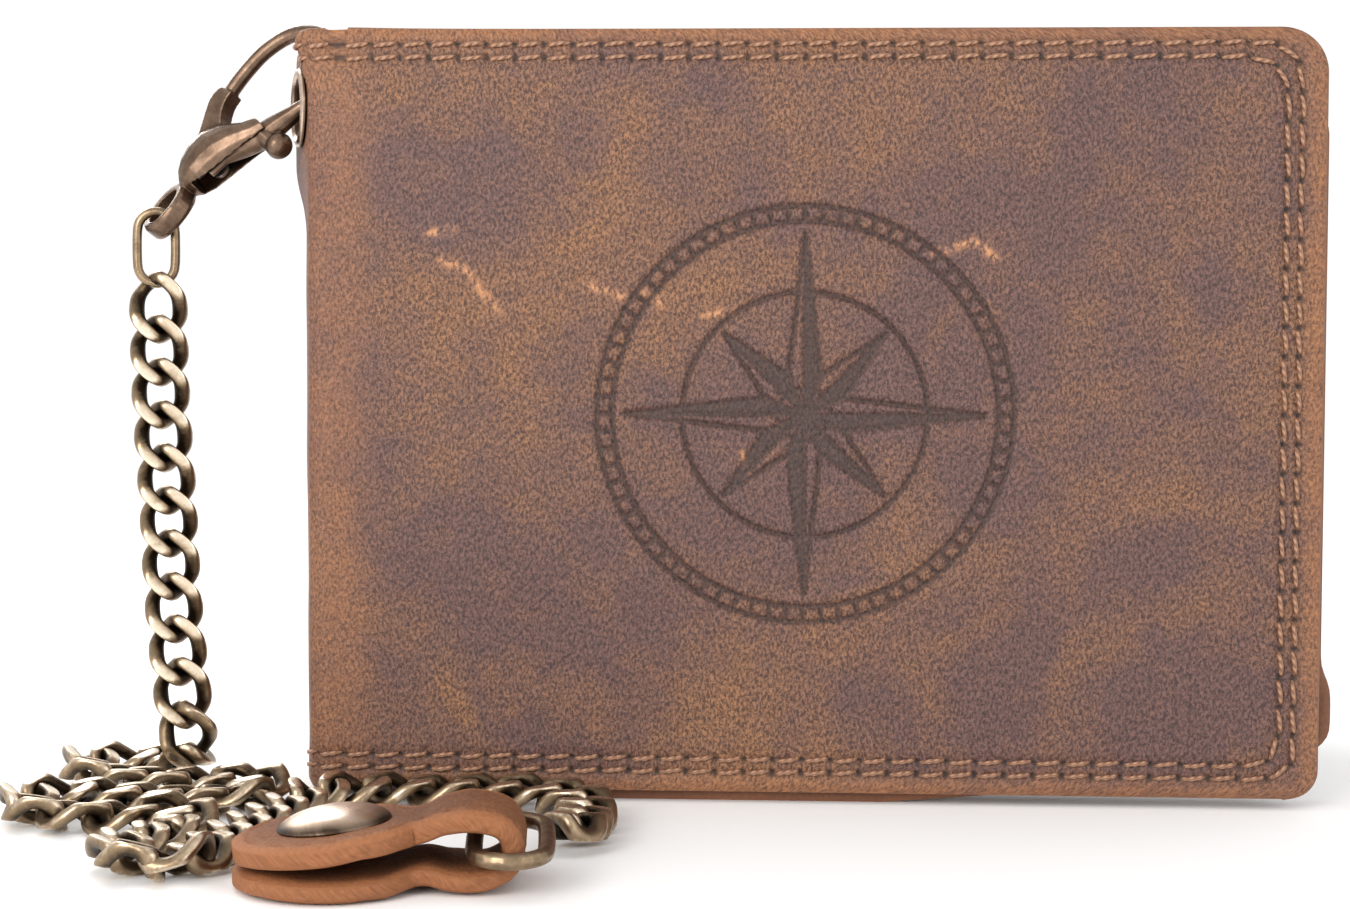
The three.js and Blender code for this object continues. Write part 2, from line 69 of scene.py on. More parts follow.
FRONT_LOW, FRONT_HIGH = node_box("front_cover")
JOINTS = {j["name"]: j for j in frame["joints"]}
HINGE = np.array(JOINTS["cover_fold"]["pos_m"][:2]) / MM
OPEN = -math.radians(JOINTS["cover_fold"]["range_deg"][0])
RIGHT = FRONT_HIGH[0]
TOP = FRONT_HIGH[2]
FRONT_Y = FRONT_LOW[1]
COVER_THICK = FRONT_HIGH[1] - FRONT_LOW[1]
CLOSED_THICK = 20.0
BACK_Y = FRONT_Y + CLOSED_THICK
SPINE_THICK = 1.5
TOP_RADIUS, BOTTOM_RADIUS = 5.5, 3.5
FACET_NORMAL = np.array([-0.94, -0.34]) / math.hypot(0.94, 0.34)
FACET_ALONG = np.array([FACET_NORMAL[1], -FACET_NORMAL[0]])
FACET_START = np.array([-RIGHT + 1.1, FRONT_Y + 1.3])
FACET_LENGTH = 10.4
EYELET = FACET_START + FACET_ALONG * FACET_LENGTH / 2
EYELET_Z = 86.0


def opened(x, y):
    """A point drawn with the wallet shut, on the back cover, at the rest opening."""
    c, s = math.cos(OPEN), math.sin(OPEN)
    dx, dy = x - HINGE[0], y - HINGE[1]
    return HINGE[0] + dx * c - dy * s, HINGE[1] + dx * s + dy * c


# ---- camera, light and floor ----


def make_camera():
    data = bpy.data.cameras.new("camera")
    data.sensor_width = 36
    data.lens = 63.1
    data.clip_start = 0.01
    camera = bpy.data.objects.new("camera", data)
    bpy.context.collection.objects.link(camera)
    camera.location = (-0.0005, -0.2922, 0.0560)
    yaw, pitch, roll = math.radians(3.03), math.radians(90 - 2.56), math.radians(0.23)
    camera.rotation_euler = (
        Matrix.Rotation(yaw, 3, "Z") @ Matrix.Rotation(pitch, 3, "X") @ Matrix.Rotation(roll, 3, "Z")
    ).to_euler()
    bpy.context.scene.camera = camera


def area_light(name, place, target, size, power, color=(1, 1, 1)):
    data = bpy.data.lights.new(name, "AREA")
    data.shape = "RECTANGLE"
    data.size, data.size_y = size
    data.energy = power
    data.color = color
    light = bpy.data.objects.new(name, data)
    bpy.context.collection.objects.link(light)
    light.location = place
    light.rotation_euler = (Vector(target) - Vector(place)).to_track_quat("-Z", "Y").to_euler()


def make_stage():
    world = bpy.data.worlds.new("studio")
    bpy.context.scene.world = world
    world.use_nodes = True
    background = world.node_tree.nodes["Background"]
    background.inputs["Color"].default_value = (1, 1, 1, 1)
    background.inputs["Strength"].default_value = 1.05
    bpy.context.scene.view_settings.view_transform = "Standard"
    area_light("key", (-0.30, -0.50, 0.24), (0, 0, 0.045), (0.30, 0.30), 2.1, (1.0, 0.97, 0.93))
    area_light("fill", (0.55, -0.45, 0.30), (0, 0, 0.045), (0.5, 0.4), 1.0)
    area_light("rim", (-0.30, 0.40, 0.35), (-0.05, 0, 0.05), (0.25, 0.25), 1.2)
    mesh = bpy.data.meshes.new("floor")
    side = 2.5
    mesh.from_pydata([(-side, -side, 0), (side, -side, 0), (side, side, 0), (-side, side, 0)], [],
            [(0, 1, 2, 3)])
    floor = bpy.data.objects.new("floor", mesh)
    bpy.context.collection.objects.link(floor)
    surface = bpy.data.materials.new("floor")
    surface.use_nodes = True
    shader = surface.node_tree.nodes["Principled BSDF"]
    shader.inputs["Base Color"].default_value = (0.97, 0.97, 0.97, 1)
    shader.inputs["Roughness"].default_value = 0.7
    mesh.materials.append(surface)


# ---- materials ----


class Nodes:
    """A short way to write a material's nodes."""

    def __init__(self, name):
        self.material = bpy.data.materials.new(name)
        self.material.use_nodes = True
        self.tree = self.material.node_tree
        self.shader = self.tree.nodes["Principled BSDF"]

    def add(self, kind, settings=None, **inputs):
        node = self.tree.nodes.new(kind)
        for key, value in (settings or {}).items():
            setattr(node, key, value)
        for key, value in inputs.items():
            self.feed(node, key.replace("_", " "), value)
        return node

    def feed(self, node, socket, value):
        target = node.inputs[socket]
        if isinstance(value, bpy.types.NodeSocket):
            self.tree.links.new(value, target)
        else:
            target.default_value = value

    def uv(self):
        return self.add("ShaderNodeTexCoord").outputs["UV"]

    def position(self):
        return self.add("ShaderNodeTexCoord").outputs["Object"]

    def attribute(self, name):
        return self.add("ShaderNodeAttribute", {"attribute_name": name}).outputs["Fac"]

    def scaled(self, vector, scale, turn=0.0):
        node = self.add("ShaderNodeMapping", {}, Vector=vector)
        node.inputs["Scale"].default_value = scale
        node.inputs["Rotation"].default_value = (0, 0, turn)
        return node.outputs["Vector"]

    def noise(self, vector, scale, detail=4.0, roughness=0.6, distortion=0.0):
        node = self.add("ShaderNodeTexNoise", {}, Vector=vector, Scale=scale, Detail=detail,
                Roughness=roughness)
        node.inputs["Distortion"].default_value = distortion
        return node.outputs["Fac"]

    def cells(self, vector, scale):
        return self.add("ShaderNodeTexVoronoi", {}, Vector=vector, Scale=scale).outputs["Distance"]

    def ramp(self, value, *stops):
        node = self.add("ShaderNodeValToRGB", {}, Fac=value)
        ramp = node.color_ramp
        while len(ramp.elements) < len(stops):
            ramp.elements.new(0.5)
        for element, (at, colour) in zip(ramp.elements, stops):
            element.position = at
            grey = (colour, colour, colour) if isinstance(colour, (int, float)) else colour
            element.color = (*grey, 1)
        return node.outputs["Color"]

    def mix(self, factor, a, b):
        node = self.add("ShaderNodeMix", {"data_type": "RGBA"})
        for socket, value in ((0, factor), (6, a), (7, b)):
            if isinstance(value, bpy.types.NodeSocket):
                self.tree.links.new(value, node.inputs[socket])
            elif socket == 0:
                node.inputs[0].default_value = value
            else:
                node.inputs[socket].default_value = (*value, 1)
        return node.outputs[2]

    def math(self, operation, a, b=0.0, clamp=False):
        node = self.add("ShaderNodeMath", {"operation": operation, "use_clamp": clamp})
        for k, value in enumerate((a, b)):
            if isinstance(value, bpy.types.NodeSocket):
                self.tree.links.new(value, node.inputs[k])
            else:
                node.inputs[k].default_value = value
        return node.outputs[0]

    def times(self, a, b):
        return self.math("MULTIPLY", a, b)

    def plus(self, a, b, clamp=False):
        return self.math("ADD", a, b, clamp)

    def bump(self, height, strength, distance, normal=None):
        node = self.add("ShaderNodeBump", {}, Height=height, Strength=strength, Distance=distance)
        if normal is not None:
            self.tree.links.new(normal, node.inputs["Normal"])
        return node.outputs["Normal"]

    def finish(self, **inputs):
        for key, value in inputs.items():
            self.feed(self.shader, key.replace("_", " "), value)
        return self.material


def outer_leather():
    n = Nodes("pull_up_leather")
    uv = n.uv()
    cloud = n.noise(uv, 24, 5, 0.6, 0.7)
    cloud_fine = n.noise(uv, 120, 5, 0.7, 0.4)
    patches = n.plus(n.times(cloud, 0.66), n.times(cloud_fine, 0.34))
    slant = n.scaled(uv, (1.0, 0.62, 1.0), math.radians(28))
    pebble = n.noise(slant, 3000, 3, 0.62, 0.5)
    speck = n.noise(uv, 6200, 2, 0.6)
    grain = n.plus(n.times(pebble, 0.72), n.times(speck, 0.28))
    worn = n.ramp(patches, (0.44, 0.0), (0.60, 1.0))
    light = n.ramp(grain, (0.42, 0.0), (0.60, 1.0))
    cool = n.mix(light, (0.044, 0.021, 0.021), (0.165, 0.086, 0.072))
    warm = n.mix(light, (0.066, 0.028, 0.017), (0.310, 0.148, 0.070))
    colour = n.mix(worn, cool, warm)
    edge = n.attribute("edge")
    edge_blur = n.times(edge, n.ramp(n.noise(uv, 160, 4, 0.7), (0.30, 0.35), (0.62, 1.0)))
    edge_tone = n.mix(n.ramp(grain, (0.34, 0.0), (0.62, 1.0)), (0.100, 0.039, 0.020), (0.380, 0.165, 0.070))
    colour = n.mix(edge_blur, colour, edge_tone)
    scuff = n.times(n.attribute("scuff"), n.ramp(n.noise(slant, 1100, 3, 0.7), (0.44, 0.0), (0.58, 1.0)))
    colour = n.mix(scuff, colour, (0.50, 0.235, 0.11))
    # pressed lines and areas are painted darker: partly the leather's own burnished press, partly painted
    # shade in the grooves
    press_tone_and_shade = n.mix(n.ramp(grain, (0.40, 0.0), (0.66, 1.0)), (0.024, 0.014, 0.013), (0.100, 0.054, 0.043))
    colour = n.mix(n.times(n.attribute("pressed"), 0.95), colour, press_tone_and_shade)
    # stitch holes painted near black: painted shade inside the holes
    colour = n.mix(n.attribute("hole_shade"), colour, (0.012, 0.006, 0.004))
    fibre = n.mix(n.noise(n.scaled(uv, (1, 0.3, 1)), 2600, 4, 0.7), (0.10, 0.040, 0.020),
            (0.30, 0.135, 0.065))
    colour = n.mix(n.attribute("cut"), colour, fibre)
    shine = n.plus(n.times(grain, 0.6), n.times(cloud_fine, 0.4))
    rough = n.ramp(shine, (0.3, 0.50), (0.7, 0.68))
    height = n.plus(n.times(pebble, 0.8), n.times(n.cells(uv, 2600), 0.4))
    normal = n.bump(height, 0.7, 0.00018)
    normal = n.bump(n.noise(uv, 90, 5, 0.65), 0.22, 0.0005, normal)
    material = n.finish(Base_Color=colour, Roughness=rough, Normal=normal)
    n.shader.inputs["Specular IOR Level"].default_value = 0.4
    return material


def plain_leather(name, dark, light, scale=1.0, rough=0.62):
    n = Nodes(name)
    uv = n.uv()
    grain = n.noise(n.scaled(uv, (1.0, 0.7, 1.0), 0.5), 1700 * scale, 4, 0.65, 0.3)
    cloud = n.noise(uv, 55, 4, 0.6, 0.4)
    value = n.plus(n.times(grain, 0.55), n.times(cloud, 0.45))
    colour = n.mix(n.ramp(value, (0.36, 0.0), (0.64, 1.0)), dark, light)
    pale = tuple(min(1.0, c * 1.7) for c in light)
    colour = n.mix(n.times(n.attribute("edge"), 0.55), colour, pale)
    fibre = n.mix(n.noise(n.scaled(uv, (1, 0.25, 1)), 2400, 4, 0.75), dark, pale)
    colour = n.mix(n.attribute("cut"), colour, fibre)
    # holes painted near black as painted shade inside them
    colour = n.mix(n.attribute("hole_shade"), colour, (0.016, 0.007, 0.004))
    height = n.plus(grain, n.times(n.cells(uv, 1500 * scale), 0.6))
    normal = n.bump(height, 0.5, 0.00020)
    material = n.finish(Base_Color=colour, Normal=normal)
    n.shader.inputs["Roughness"].default_value = rough
    n.shader.inputs["Specular IOR Level"].default_value = 0.3
    return material


def thread_material():
    n = Nodes("waxed_thread")
    uv = n.uv()
    twist = n.add("ShaderNodeTexWave", {"wave_type": "BANDS", "bands_direction": "DIAGONAL"}, Vector=uv,
            Scale=520.0)
    strands = twist.outputs["Fac"]
    colour = n.mix(n.plus(n.times(strands, 0.7), n.times(n.noise(uv, 2600), 0.3)),
                   (0.13, 0.055, 0.030), (0.46, 0.25, 0.15))
    material = n.finish(Base_Color=colour, Normal=n.bump(strands, 0.6, 0.00012))
    n.shader.inputs["Roughness"].default_value = 0.55
    return material


def aged_metal(name, dark, light, bright, scale=1.0):
    n = Nodes(name)
    place = n.position()
    mottle = n.noise(place, 420 * scale, 5, 0.65, 0.5)
    fine = n.noise(place, 2600 * scale, 4, 0.6)
    wear = n.plus(n.attribute("wear"), n.times(n.math("SUBTRACT", mottle, 0.5), 0.9), True)
    colour = n.mix(n.ramp(wear, (0.15, 0.0), (0.60, 1.0)), dark, light)
    colour = n.mix(n.ramp(wear, (0.62, 0.0), (0.95, 1.0)), colour, bright)
    rough = n.ramp(n.plus(n.times(wear, 0.6), n.times(fine, 0.4)), (0.15, 0.52), (0.85, 0.24))
    normal = n.bump(n.plus(mottle, n.times(fine, 0.5)), 0.22, 0.00012)
    material = n.finish(Base_Color=colour, Roughness=rough, Normal=normal)
    n.shader.inputs["Metallic"].default_value = 1.0
    return material


def simple_metal(name, colour, rough):
    n = Nodes(name)
    normal = n.bump(n.noise(n.position(), 3000, 4, 0.6), 0.2, 0.00005)
    material = n.finish(Normal=normal)
    n.shader.inputs["Base Color"].default_value = (*colour, 1)
    n.shader.inputs["Metallic"].default_value = 1.0
    n.shader.inputs["Roughness"].default_value = rough
    return material


def clear_film():
    n = Nodes("clear_film")
    normal = n.bump(n.noise(n.position(), 70, 3, 0.5), 0.15, 0.0005)
    material = n.finish(Normal=normal)
    n.shader.inputs["Base Color"].default_value = (0.92, 0.95, 0.96, 1)
    n.shader.inputs["Roughness"].default_value = 0.12
    n.shader.inputs["Transmission Weight"].default_value = 0.85
    n.shader.inputs["IOR"].default_value = 1.45
    return material


# ---- mesh helpers ----


def make_object(name, points, faces, material, attributes=None, uv=None):
    mesh = bpy.data.meshes.new(name)
    mesh.from_pydata((np.asarray(points) * MM).tolist(), [], faces)
    mesh.update()
    for key, values in (attributes or {}).items():
        layer = mesh.attributes.new(key, "FLOAT", "POINT")
        layer.data.foreach_set("value", np.asarray(values, np.float32))
    if uv is not None:
        layer = mesh.uv_layers.new(name="uv")
        loops = np.empty(len(mesh.loops), np.int32)
        mesh.loops.foreach_get("vertex_index", loops)
        layer.data.foreach_set("uv", (np.asarray(uv) * MM)[loops].astype(np.float32).ravel())
    mesh.polygons.foreach_set("use_smooth", [True] * len(mesh.polygons))
    mesh.materials.append(material)
    piece = bpy.data.objects.new(name, mesh)
    bpy.context.collection.objects.link(piece)
    return piece


def dress(piece, body, slot, *nodes):
    """Rides the piece on a body and hides the nodes that it stands for."""
    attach(piece, body)
    if nodes:
        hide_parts(*nodes)


def catmull(points, per_span, closed=False):
    """A smooth line through the points."""
    p = np.asarray(points, float)
    count = len(p)
    out = []
    spans = count if closed else count - 1
    for i in range(spans):
        if closed:
            a, b, c, d = (p[(i + k - 1) % count] for k in range(4))
        else:
            a, b, c, d = (p[min(max(i + k - 1, 0), count - 1)] for k in range(4))
        for t in np.linspace(0, 1, per_span, endpoint=False):
            out.append(0.5 * ((2 * b) + (c - a) * t + (2 * a - 5 * b + 4 * c - d) * t * t
                    + (3 * b - a - 3 * c + d) * t**3))
    if not closed:
        out.append(p[-1])
    return np.array(out)


def resampled(line, step=None, count=None):
    """The line with evenly spaced points."""
    line = np.asarray(line, float)
    length = np.concatenate([[0], np.cumsum(np.linalg.norm(np.diff(line, axis=0), axis=1))])
    if count is None:
        count = max(2, int(round(length[-1] / step)) + 1)
    at = np.linspace(0, length[-1], count)
    return np.stack([np.interp(at, length, line[:, k]) for k in range(line.shape[1])], 1), at


def value_noise(x, y, seed, cell):
    """Smooth noise from -1 to 1 with features about one cell wide."""
    rng = np.random.default_rng(seed)
    table = rng.uniform(-1, 1, (64, 64))
    gx, gy = np.asarray(x) / cell, np.asarray(y) / cell
    ix, iy = np.floor(gx).astype(int), np.floor(gy).astype(int)
    fx, fy = gx - ix, gy - iy
    fx, fy = fx * fx * (3 - 2 * fx), fy * fy * (3 - 2 * fy)

    def at(a, b):
        return table[a % 64, b % 64]

    low = at(ix, iy) * (1 - fx) + at(ix + 1, iy) * fx
    high = at(ix, iy + 1) * (1 - fx) + at(ix + 1, iy + 1) * fx
    return low * (1 - fy) + high * fy


def sheet_piece(name, outer, inner, material, keep=None, attributes=None, uv=None, bulge=0.3, rings=3,
                rough=0.0):
    """A closed sheet from matching outer and inner grids, with a rounded cut edge round each border."""
    rows, cols = outer.shape[:2]
    if keep is None:
        keep = np.ones((rows - 1, cols - 1), bool)
    used = np.zeros((rows, cols), bool)
    for a, b in ((0, 0), (0, 1), (1, 0), (1, 1)):
        used[a:rows - 1 + a, b:cols - 1 + b] |= keep
    index = -np.ones((rows, cols), int)
    index[used] = np.arange(used.sum())
    base = int(used.sum())
    points = [outer[used], inner[used]]
    values = {k: [v[used], v[used]] for k, v in (attributes or {}).items()}
    cut = [np.zeros(base), np.zeros(base)]
    coords = [uv[used], uv[used]] if uv is not None else None
    cells = np.argwhere(keep)
    i, j = cells[:, 0], cells[:, 1]
    quad = np.stack([index[i, j], index[i, j + 1], index[i + 1, j + 1], index[i + 1, j]], 1)
    faces = quad.tolist() + (quad[:, ::-1] + base).tolist()

    padded = np.zeros((rows + 1, cols + 1), bool)
    padded[1:-1, 1:-1] = keep
    edges = []
    for di, dj, start, end in ((-1, 0, (0, 0), (0, 1)), (0, 1, (0, 1), (1, 1)), (1, 0, (1, 1), (1, 0)),
            (0, -1, (1, 0), (0, 0))):
        open_side = keep & ~padded[1 + di:rows + di, 1 + dj:cols + dj]
        for a, b in np.argwhere(open_side):
            edges.append(((a + start[0], b + start[1]), (a + end[0], b + end[1])))
    outward = {}
    for first, second in edges:
        for v in (first, second):
            outward.setdefault(v, np.zeros(3))
    for v in outward:
        near = np.zeros(3)
        number = 0
        for a in (-1, 0):
            for b in (-1, 0):
                ci, cj = v[0] + a, v[1] + b
                if 0 <= ci < rows - 1 and 0 <= cj < cols - 1 and keep[ci, cj]:
                    near += (outer[ci, cj] + outer[ci + 1, cj + 1]) / 2
                    number += 1
        away = outer[v] - near / number
        through = inner[v] - outer[v]
        through = through / (np.linalg.norm(through) + 1e-9)
        away = away - through * away.dot(through)
        outward[v] = away / (np.linalg.norm(away) + 1e-9)
    order = list(outward)
    middle = {}
    count = 2 * base
    ring_points, ring_uv = [], []
    ring_values = {k: [] for k in values}
    for v in order:
        chain = []
        for k in range(rings):
            share = (k + 1) / (rings + 1)
            push = bulge * math.sin(math.pi * share)
            if rough:
                place = outer[v] * (1 - share) + inner[v] * share
                push += rough * float(value_noise(place[0] + place[1], place[2] * 2.4, 77, 0.9))
            ring_points.append(outer[v] * (1 - share) + inner[v] * share + outward[v] * push)
            if uv is not None:
                ring_uv.append(uv[v] + share * 1.4)
            for key in ring_values:
                ring_values[key].append(attributes[key][v])
            chain.append(count)
            count += 1
        middle[v] = [int(index[v])] + chain + [int(index[v]) + base]
    for first, second in edges:
        a, b = middle[first], middle[second]
        for k in range(rings + 1):
            faces.append([b[k], a[k], a[k + 1], b[k + 1]])
    points.append(np.array(ring_points).reshape(-1, 3))
    cut.append(np.ones(len(ring_points)))
    out = {k: np.concatenate([*values[k], np.array(ring_values[k])]) for k in values}
    out["cut"] = np.concatenate(cut)
    coords = None if uv is None else np.concatenate([*coords, np.array(ring_uv).reshape(-1, 2)])
    return make_object(name, np.concatenate(points), faces, material, out, coords)


def tube_points(line, radii, sides, closed=False, up=None):
    """Rings of points round a line, turned so that they twist as little as they can."""
    line = np.asarray(line, float)
    count = len(line)
    if closed:
        tangent = np.roll(line, -1, 0) - np.roll(line, 1, 0)
    else:
        tangent = np.gradient(line, axis=0)
    tangent /= np.linalg.norm(tangent, axis=1)[:, None]
    first = np.array(up if up is not None else (0, 0, 1.0))
    side = first - tangent[0] * first.dot(tangent[0])
    side /= np.linalg.norm(side)
    rings = []
    radii = np.broadcast_to(radii, (count,))
    for k in range(count):
        side = side - tangent[k] * side.dot(tangent[k])
        side /= np.linalg.norm(side)
        other = np.cross(tangent[k], side)
        angle = np.arange(sides) / sides * TAU
        ring = line[k] + radii[k] * (np.outer(np.cos(angle), side) + np.outer(np.sin(angle), other))
        rings.append(ring)
    return np.array(rings)


def tube_faces(count, sides, closed, offset=0):
    faces = []
    spans = count if closed else count - 1
    for i in range(spans):
        a, b = offset + i * sides, offset + ((i + 1) % count) * sides
        for k in range(sides):
            m = (k + 1) % sides
            faces.append([a + k, a + m, b + m, b + k])
    if not closed:
        faces.append([offset + k for k in range(sides)][::-1])
        faces.append([offset + (count - 1) * sides + k for k in range(sides)])
    return faces


# ---- the outer leather: one sheet round the front, the spine and the back ----


def plan_path():
    """The outer face in plan, from the front's right end round the spine to the back's right end."""
    facet_end = FACET_START + FACET_ALONG * FACET_LENGTH
    fold = [
        (-RIGHT + 5.4, FRONT_Y),
        (-RIGHT + 3.0, FRONT_Y + 0.12),
        (-RIGHT + 1.75, FRONT_Y + 0.62),
        tuple(FACET_START),
        tuple(FACET_START + FACET_ALONG * 3.4),
        tuple(FACET_START + FACET_ALONG * 7.0),
        tuple(facet_end),
        (HINGE[0] - 1.08, 11.6),
        (HINGE[0] - 0.98, 14.3),
        (HINGE[0] - 0.45, 16.7),
        (HINGE[0] + 0.9, 18.0),
        opened(HINGE[0] + 3.6, BACK_Y),
    ]
    return catmull(fold, 16)


def rounded_ends(z, low, high, low_radius, high_radius):
    """How far a side comes in at a height because of its rounded corners."""
    z = np.asarray(z, float)
    top = np.clip(z - (high - high_radius), 0, high_radius)
    bottom = np.clip((low + low_radius) - z, 0, low_radius)
    return (high_radius - np.sqrt(np.maximum(high_radius**2 - top**2, 0))) + (
        low_radius - np.sqrt(np.maximum(low_radius**2 - bottom**2, 0))
    )


def fold_shift(y, z):
    """The fold leans out above the eyelet and is drawn in below it."""
    lean = np.clip((z - 88.5) / 5, 0, 1) ** 1.5 * np.exp(-((np.asarray(y) + 1.0) / 4.0) ** 2)
    below = 1 - np.clip((z - 70) / 9, 0, 1)
    return 1.6 * below * below * (3 - 2 * below) * np.exp(-((np.asarray(y) - 8.6) / 5.0) ** 2) - 1.7 * lean


def stepped(start, end, fine_start, fine_end, fine, coarse):
    """Values from start to end, closer together over the pressed emblem."""
    parts = [(start, fine_start, coarse), (fine_start, fine_end, fine), (fine_end, end, coarse)]
    rows = [np.linspace(a, b, max(2, int((b - a) / step)), endpoint=False) for a, b, step in parts]
    return np.concatenate([*rows, [end]])


def row_heights(fine, coarse):
    """Heights from 0 to 1, closer together at both ends where the corners turn."""
    ends = (1 - np.cos(np.linspace(0, math.pi / 2, 14))) * 0.045
    middle = stepped(ends[-1], 1 - ends[-1], 20 / TOP, 76.5 / TOP, fine / TOP, coarse / TOP)
    return np.concatenate([ends[:-1], middle, (1 - ends[:-1])[::-1]])


def stroke_distance(x, z, line):
    """The distance from each point to a polyline."""
    best = np.full(x.shape, 1e9)
    line = np.asarray(line, float)
    low, high = line.min(0) - 2.0, line.max(0) + 2.0
    inside = (x > low[0]) & (x < high[0]) & (z > low[1]) & (z < high[1])
    if not inside.any():
        return best
    px, pz = x[inside], z[inside]
    near = np.full(px.shape, 1e9)
    for (ax, az), (bx, bz) in zip(line[:-1], line[1:]):
        dx, dz = bx - ax, bz - az
        t = np.clip(((px - ax) * dx + (pz - az) * dz) / (dx * dx + dz * dz + 1e-12), 0, 1)
        near = np.minimum(near, np.hypot(px - ax - t * dx, pz - az - t * dz))
    best[inside] = near
    return best


def inside_outline(x, z, line):
    """True where a point lies within a closed polyline."""
    line = np.asarray(line, float)
    odd = np.zeros(x.shape, bool)
    for (ax, az), (bx, bz) in zip(line, np.roll(line, -1, 0)):
        crosses = (az > z) != (bz > z)
        with np.errstate(divide="ignore", invalid="ignore"):
            at = (bx - ax) * (z - az) / (bz - az) + ax
        odd ^= crosses & (x < at)
    return odd


def arc(cx, cz, rx, rz, start=0, end=360, turn=0, count=48):
    angle = np.radians(np.linspace(start, end, count))
    c, s = math.cos(math.radians(turn)), math.sin(math.radians(turn))
    x, z = rx * np.cos(angle), rz * np.sin(angle)
    return np.stack([cx + x * c - z * s, cz + x * s + z * c], 1)


def smooth(*points, closed=False):
    line = catmull(points, 8, closed)
    return np.concatenate([line, line[:1]]) if closed else line


def straight(*points):
    return np.array(points, float)


ROSE_CENTRE = np.array([0.0, 48.0])
ROSE_RINGS = (25.5, 23.6, 15.0, 3.2)
ROSE_LONG, ROSE_SHORT, ROSE_WAIST = 22.0, 14.0, 5.2


def rose_spot(radius, degrees):
    angle = math.radians(degrees)
    return ROSE_CENTRE + radius * np.array([math.sin(angle), math.cos(angle)])


def motif():
    """A plain compass rose: thin pressed rings and ticks, and eight points pressed down on one side."""
    lines = [arc(*ROSE_CENTRE, radius, radius, count=96) for radius in ROSE_RINGS]
    areas = []
    for k in range(8):
        reach = ROSE_SHORT if k % 2 else ROSE_LONG
        for side in (-1, 1):
            half = straight(ROSE_CENTRE, rose_spot(ROSE_WAIST, 45 * k + 22.5 * side),
                    rose_spot(reach, 45 * k))
            lines.append(np.concatenate([half, half[:1]]))
            if side > 0:
                areas.append(half)
    for k in range(72):
        lines.append(straight(rose_spot(ROSE_RINGS[1], 5 * k), rose_spot(ROSE_RINGS[0], 5 * k)))
    return lines, areas


SCUFFS = [
    [(-44.6, 66.8), (-41.6, 65.4), (-39.4, 62.6), (-37.6, 60.6)],
    [(-46.2, 70.0), (-43.4, 70.6)],
    [(-27.0, 63.6), (-24.4, 63.2), (-22.4, 62.4)],
    [(-19.6, 62.8), (-17.4, 61.4)],
    [(-12.4, 60.2), (-9.0, 60.4)],
    [(-7.4, 43.0), (-7.0, 40.6)],
    [(15.8, 67.6), (20.4, 69.0), (23.0, 67.0)],
]

STITCH_PITCH = 3.55
LINE_HALF_WIDTH, LINE_DEPTH = 0.27, 0.5
AREA_EDGE, AREA_DEPTH = 0.25, 0.36
EYELET_CUT = 4.55
THREAD_RADIUS = 0.27


def stitch_rows(low, high, left):
    """Two rows of stitch holes along the top, the right and the bottom, as lists of points."""
    rows = []
    for top_in, side_in, bottom_in in ((1.9, 2.9, 2.5), (3.5, 4.6, 4.1)):
        radius_top, radius_bottom = TOP_RADIUS - 1.2, BOTTOM_RADIUS - 0.6
        x, z_top, z_bottom = RIGHT - side_in, high - top_in, low + bottom_in
        top_corner = arc(x - radius_top, z_top - radius_top, radius_top, radius_top, 90, 0, count=12)
        bottom_corner = arc(x - radius_bottom, z_bottom + radius_bottom, radius_bottom, radius_bottom, 0,
                -90, count=10)
        line = np.concatenate([[(left, z_top)], top_corner, bottom_corner, [(left, z_bottom)]])
        rows.append(resampled(line, step=STITCH_PITCH)[0])
    return rows


def make_stitches(name, rows, to_world, material, seed, lift=0.16):
    """Each stitch is a short thread that comes out of one hole, crests and goes into the next."""
    rng = np.random.default_rng(seed)
    points, faces, coords = [], [], []
    offset = 0
    sides, steps = 8, 9
    for row in rows:
        for a, b in zip(row[:-1], row[1:]):
            along = b - a
            length = np.linalg.norm(along)
            along /= length
            across = np.array([-along[1], along[0]])
            t = np.linspace(0, 1, steps)
            wander = rng.uniform(-0.10, 0.10)
            flat = a + np.outer(t * (length - 0.8) + 0.4,
                    along) + np.outer(0.36 * (t - 0.5) + wander * np.sin(np.pi * t), across)
            crest = -0.42 + (lift + 0.42 + rng.uniform(-0.04, 0.05)) * np.sin(np.pi * t) ** 0.42
            line = np.array([to_world(p[0], p[1], h) for p, h in zip(flat, crest)])
            thick = THREAD_RADIUS * (0.82 + 0.24 * np.sin(np.pi * t)) * rng.uniform(0.93, 1.07)
            rings = tube_points(line, thick, sides, up=(0.1, -1, 0.2))
            points.append(rings.reshape(-1, 3))
            u = np.repeat(t * length, sides)
            v = np.tile(np.arange(sides) / sides * 1.7, steps)
            coords.append(np.stack([u + offset % 97, v], 1))
            faces += tube_faces(steps, sides, False, offset)
            offset += sides * steps
    return make_object(name, np.concatenate(points), faces, material, uv=np.concatenate(coords))


